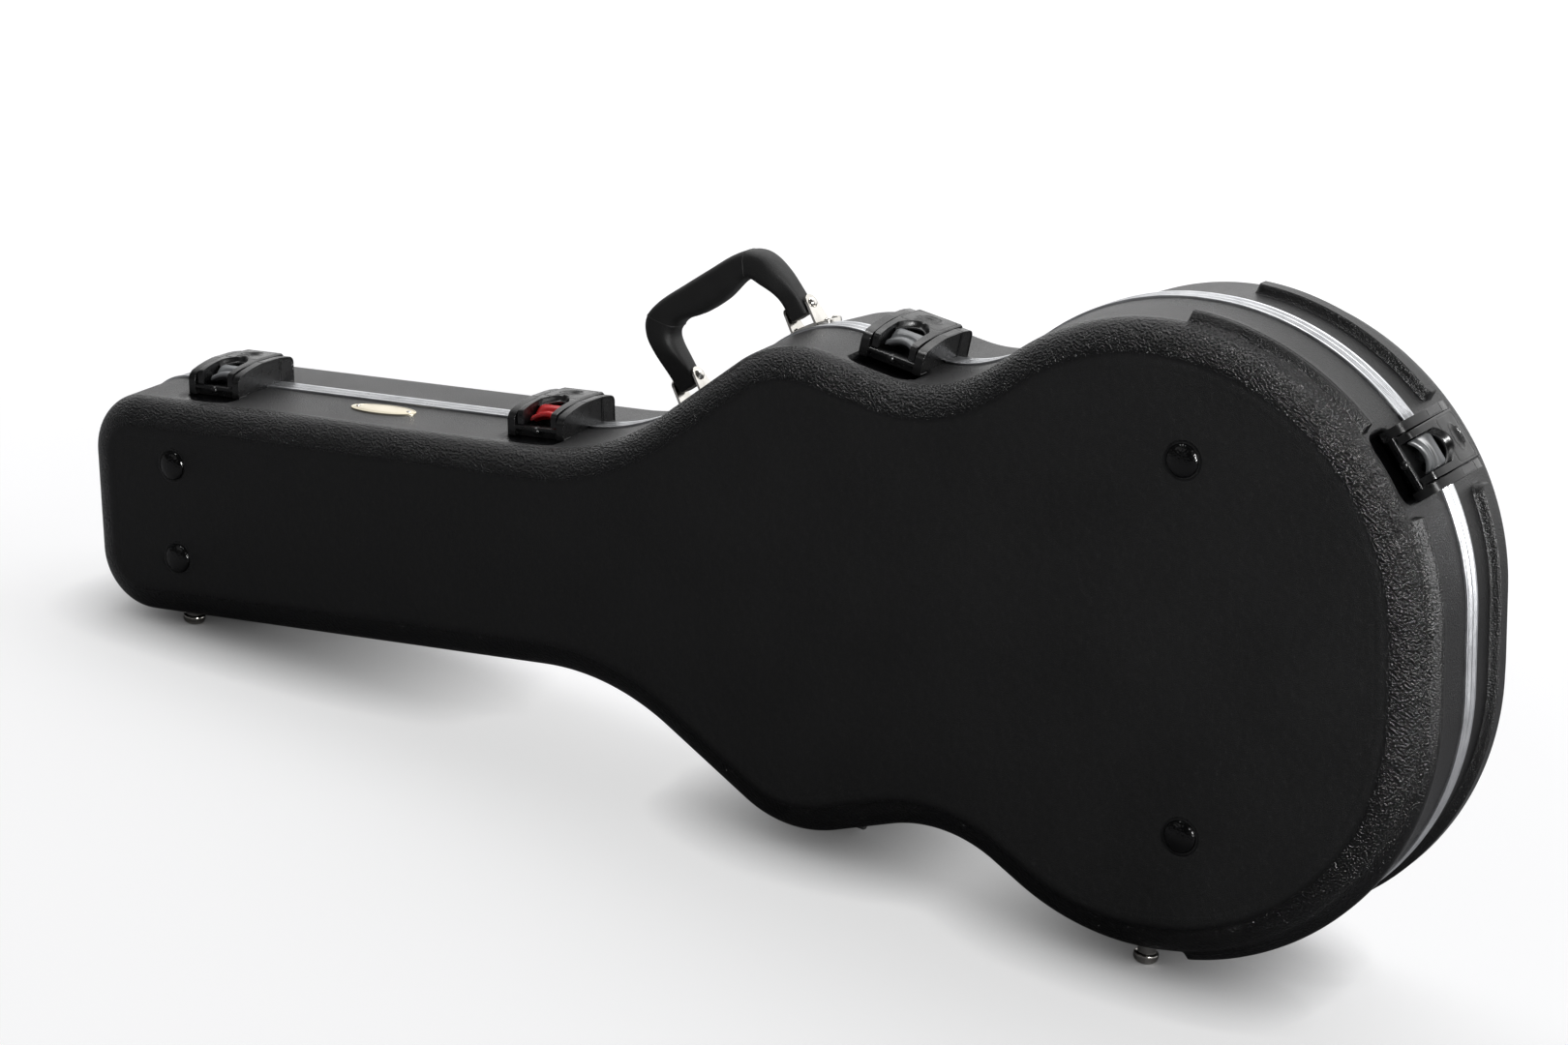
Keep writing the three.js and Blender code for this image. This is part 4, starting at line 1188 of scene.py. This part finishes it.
def swollen(name, node, body, voxel, pressure, cap):
    """Foam under plush: the CAD solid remeshed, inflated as cloth within a cap and smoothed."""
    mesh = frame["nodes"][node].data.copy()
    piece = linked(name, mesh)
    bpy.context.view_layer.objects.active = piece
    remesh = piece.modifiers.new("Remesh", "REMESH")
    remesh.mode = "VOXEL"
    remesh.voxel_size = voxel * MM
    soften = piece.modifiers.new("Soften", "SMOOTH")
    soften.iterations = 6
    apply_all(piece)
    inflate(piece, pressure, cap)
    subdivide = piece.modifiers.new("Fine", "SUBSURF")
    subdivide.levels = subdivide.render_levels = 1
    apply_all(piece)
    piece.data.shade_smooth()
    settle(piece, body, "plush", PLUSH, replaces=[node])
    return piece


def apply_all(piece):
    """Turns the modified shape into the piece's own mesh."""
    evaluated = piece.evaluated_get(bpy.context.evaluated_depsgraph_get())
    mesh = bpy.data.meshes.new_from_object(evaluated)
    piece.modifiers.clear()
    piece.data = mesh


def inflate(piece, pressure, cap):
    """A short cloth run under pressure, with every point held within cap of its start."""
    start = np.array([v.co for v in piece.data.vertices])
    cloth = piece.modifiers.new("Cloth", "CLOTH")
    cloth.settings.use_pressure = True
    cloth.settings.uniform_pressure_force = pressure
    cloth.settings.effector_weights.gravity = 0
    cloth.point_cache.frame_start = 1
    cloth.point_cache.frame_end = CLOTH_FRAMES
    for number in range(1, CLOTH_FRAMES + 1):
        bpy.context.scene.frame_set(number)
    apply_all(piece)
    bpy.context.scene.frame_set(1)
    now = np.array([v.co for v in piece.data.vertices])
    shift = now - start
    length = np.linalg.norm(shift, axis=1, keepdims=True)
    shift *= np.minimum(1, cap * MM / np.maximum(length, 1e-9))
    piece.data.vertices.foreach_set("co", (start + shift).astype(np.float32).ravel())
    piece.data.update()


swollen("neck_cradle_padding", "neck_cradle", "base", 3, 2, 1.2)
swollen("compartment_box_padding", "compartment_box", "base", 1.2, 0.5, 0.3)
swollen("compartment_flap_padding", "compartment_flap", "compartment_flap", 1.2, 1, 0.5)


def flap_tab():
    """A short pull of woven tape with a folded end and a line of stitches."""
    low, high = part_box("compartment_tab")
    cols = np.linspace(low.x, high.x, 24)
    rows = np.linspace(low.z, high.z, 12)
    x, z = np.meshgrid(cols, rows)
    end = smooth_step((x - high.x + 0.006) / 0.004)
    dip = 0.0004 * smooth_step(1 - abs(z - (low.z + high.z) / 2) / 0.009)
    top = np.stack((x, np.full_like(x, low.y) + 0.0002 - 0.0004 * end, z), -1)
    bottom = np.stack((x, np.full_like(x, high.y) - dip * 0.3, z), -1)
    tape = body_from("compartment_tab_tape", *slab_parts(top, bottom), Matrix.Identity(4))
    bevelled(tape, 0.25, 2, 60)
    settle(tape, "compartment_flap", "webbing", TAPE, replaces=["compartment_tab"])


flap_tab()


# ---------------------------------------------------------------- CAD nodes that stay
def dress(node, material, width):
    """A finish and softened edges for a node that is shown as the CAD has it."""
    piece = frame["nodes"][node]
    piece.data.materials.clear()
    piece.data.materials.append(material)
    bevelled(piece, width, 2, 35)


for hinge_number in (1, 2, 3):
    for leaf_name in ("base_leaf", "lid_leaf"):
        dress(f"hinge_{hinge_number}_{leaf_name}", STEEL, 0.25)
    dress(f"hinge_{hinge_number}_pin", NICKEL, 0.12)
for latch_number in LATCH:
    dress(f"latch_{latch_number}_pin", STEEL, 0.12)
    dress(f"latch_{latch_number}_trigger_spring", STEEL, 0.08)


# ---------------------------------------------------------------- floor, light and camera, in metres
FLOOR_HALF = 12.0


def floor():
    """White studio paper under the case, or under the lid where the lid swings lower. To the camera it
    also glows, with a painted brightening away from the case and a painted contact shadow close to it.
    """
    n = Nodes("studio_floor")
    n.link("Base Color", n.blend(n.noise(1.5, 3), (0.36, 0.36, 0.37), (0.39, 0.39, 0.40)))
    n.link("Roughness", n.ramp(n.noise(3, 3), 0.3, 0.7, 0.75, 0.85))
    away = n.add("ShaderNodeVectorMath", {0: n.place}, output="Value", operation="LENGTH")
    # Painted light: the floor glows to the camera only, more strongly further from the case.
    glow = n.ramp(away, 0.7, 3.0, 0.66, 1.0)
    # Painted shadow: ambient occlusion dims that glow where the case is close.
    near = n.add("ShaderNodeAmbientOcclusion", {"Distance": 0.06}, output="AO")
    seen = n.add("ShaderNodeLightPath", output="Is Camera Ray")
    n.link("Emission Strength", n.maths("MULTIPLY", seen, n.maths("MULTIPLY", glow, near)))
    n.fix(Emission_Color=(1, 1, 1, 1), Specular_IOR_Level=0.0)
    corners = [(x * FLOOR_HALF, y * FLOOR_HALF, 0) for x, y in ((-1, -1), (1, -1), (1, 1), (-1, 1))]
    mesh = bpy.data.meshes.new("studio_floor")
    mesh.from_pydata(corners, [], [[0, 1, 2, 3]])
    mesh.materials.append(n.material)
    made = linked("studio_floor", mesh)
    lid = bpy.data.objects["lid_shell_moulding"]
    made.modifiers.new("level", "NODES").node_group = level_group(lid)


def wire(tree, *pairs):
    """Links each output to its input."""
    for source, target in pairs:
        tree.links.new(source, target)


def level_group(lid):
    """Nodes that lower a flat mesh to the lid's lowest point, where that is below 0."""
    group = bpy.data.node_groups.new("floor_level", "GeometryNodeTree")
    for way in ("INPUT", "OUTPUT"):
        group.interface.new_socket("Geometry", in_out=way, socket_type="NodeSocketGeometry")
    start = group.nodes.new("NodeGroupInput")
    end = group.nodes.new("NodeGroupOutput")
    info = group.nodes.new("GeometryNodeObjectInfo")
    info.transform_space = "RELATIVE"
    info.inputs["Object"].default_value = lid
    box = group.nodes.new("GeometryNodeBoundBox")
    lowest = group.nodes.new("ShaderNodeSeparateXYZ")
    level = group.nodes.new("ShaderNodeMath")
    level.operation = "MINIMUM"
    level.inputs[1].default_value = 0
    shift = group.nodes.new("ShaderNodeCombineXYZ")
    place = group.nodes.new("GeometryNodeSetPosition")
    wire(group, (info.outputs["Geometry"], box.inputs["Geometry"]),
         (box.outputs["Min"], lowest.inputs[0]), (lowest.outputs["Z"], level.inputs[0]),
         (level.outputs[0], shift.inputs["Z"]), (start.outputs[0], place.inputs["Geometry"]),
         (shift.outputs[0], place.inputs["Offset"]), (place.outputs[0], end.inputs[0]))
    return group


def backdrop():
    """White to the eye; in reflections bright behind the case and dim on the near side."""
    world = bpy.data.worlds.new("studio")
    bpy.context.scene.world = world
    world.use_nodes = True
    tree = world.node_tree
    tree.nodes.clear()
    output = tree.nodes.new("ShaderNodeOutputWorld")
    seen = tree.nodes.new("ShaderNodeBackground")
    seen.inputs["Color"].default_value = (1, 1, 1, 1)
    seen.inputs["Strength"].default_value = 0.97
    around = tree.nodes.new("ShaderNodeBackground")
    place = tree.nodes.new("ShaderNodeTexCoord")
    split = tree.nodes.new("ShaderNodeSeparateXYZ")
    glow = tree.nodes.new("ShaderNodeMapRange")
    for key, value in (("From Min", -0.15), ("From Max", 0.75), ("To Min", 0.07), ("To Max", 1.7)):
        glow.inputs[key].default_value = value
    ray = tree.nodes.new("ShaderNodeLightPath")
    mix = tree.nodes.new("ShaderNodeMixShader")
    wire(tree, (place.outputs["Generated"], split.inputs[0]),
         (split.outputs["Y"], glow.inputs["Value"]), (glow.outputs[0], around.inputs["Strength"]),
         (ray.outputs["Is Camera Ray"], mix.inputs[0]), (around.outputs[0], mix.inputs[1]),
         (seen.outputs[0], mix.inputs[2]), (mix.outputs[0], output.inputs["Surface"]))


def softbox(name, place, target, width, height, power, glints_only=False):
    """A rectangular light in metres and watts. A glints_only one shows only in reflections."""
    light = bpy.data.lights.new(name, "AREA")
    light.shape = "RECTANGLE"
    light.size = width
    light.size_y = height
    light.energy = power
    made = linked(name, light)
    made.location = place
    made.rotation_mode = "QUATERNION"
    made.rotation_quaternion = (Vector(target) - Vector(place)).to_track_quat("-Z", "Y")
    made.visible_diffuse = not glints_only


def camera():
    """The view from the near right, slightly above and rolled."""
    right = Vector((0.8467, 0.5191, 0.1171))
    up = Vector((-0.2615, 0.2142, 0.9411))
    back = Vector((0.4635, -0.8274, 0.3171))
    data = bpy.data.cameras.new("camera")
    data.lens = 81.865
    data.sensor_width = 36
    made = linked("camera", data)
    made.matrix_world = Matrix((right, up, back)).transposed().to_4x4()
    made.location = (1.2241, -2.1365, 1.0286)
    bpy.context.scene.camera = made


floor()
backdrop()
camera()
softbox("overhead", (-0.3, 1.0, 2.6), (0, 0, 0.2), 3.0, 1.6, 34)
softbox("right_side", (2.7, -0.7, 1.0), (0.3, 0, 0.25), 0.6, 1.4, 4)
softbox("front_fill", (-1.6, -3.0, 1.9), (0, 0, 0.2), 2.2, 1.6, 6)
softbox("top_glint", (-0.9, -0.45, 2.6), (0, 0, 0.2), 0.45, 0.35, 14, glints_only=True)
softbox("right_glint", (2.3, -1.2, 1.2), (0.3, 0, 0.25), 0.28, 0.7, 120, glints_only=True)
bpy.context.scene.view_settings.view_transform = "Standard"
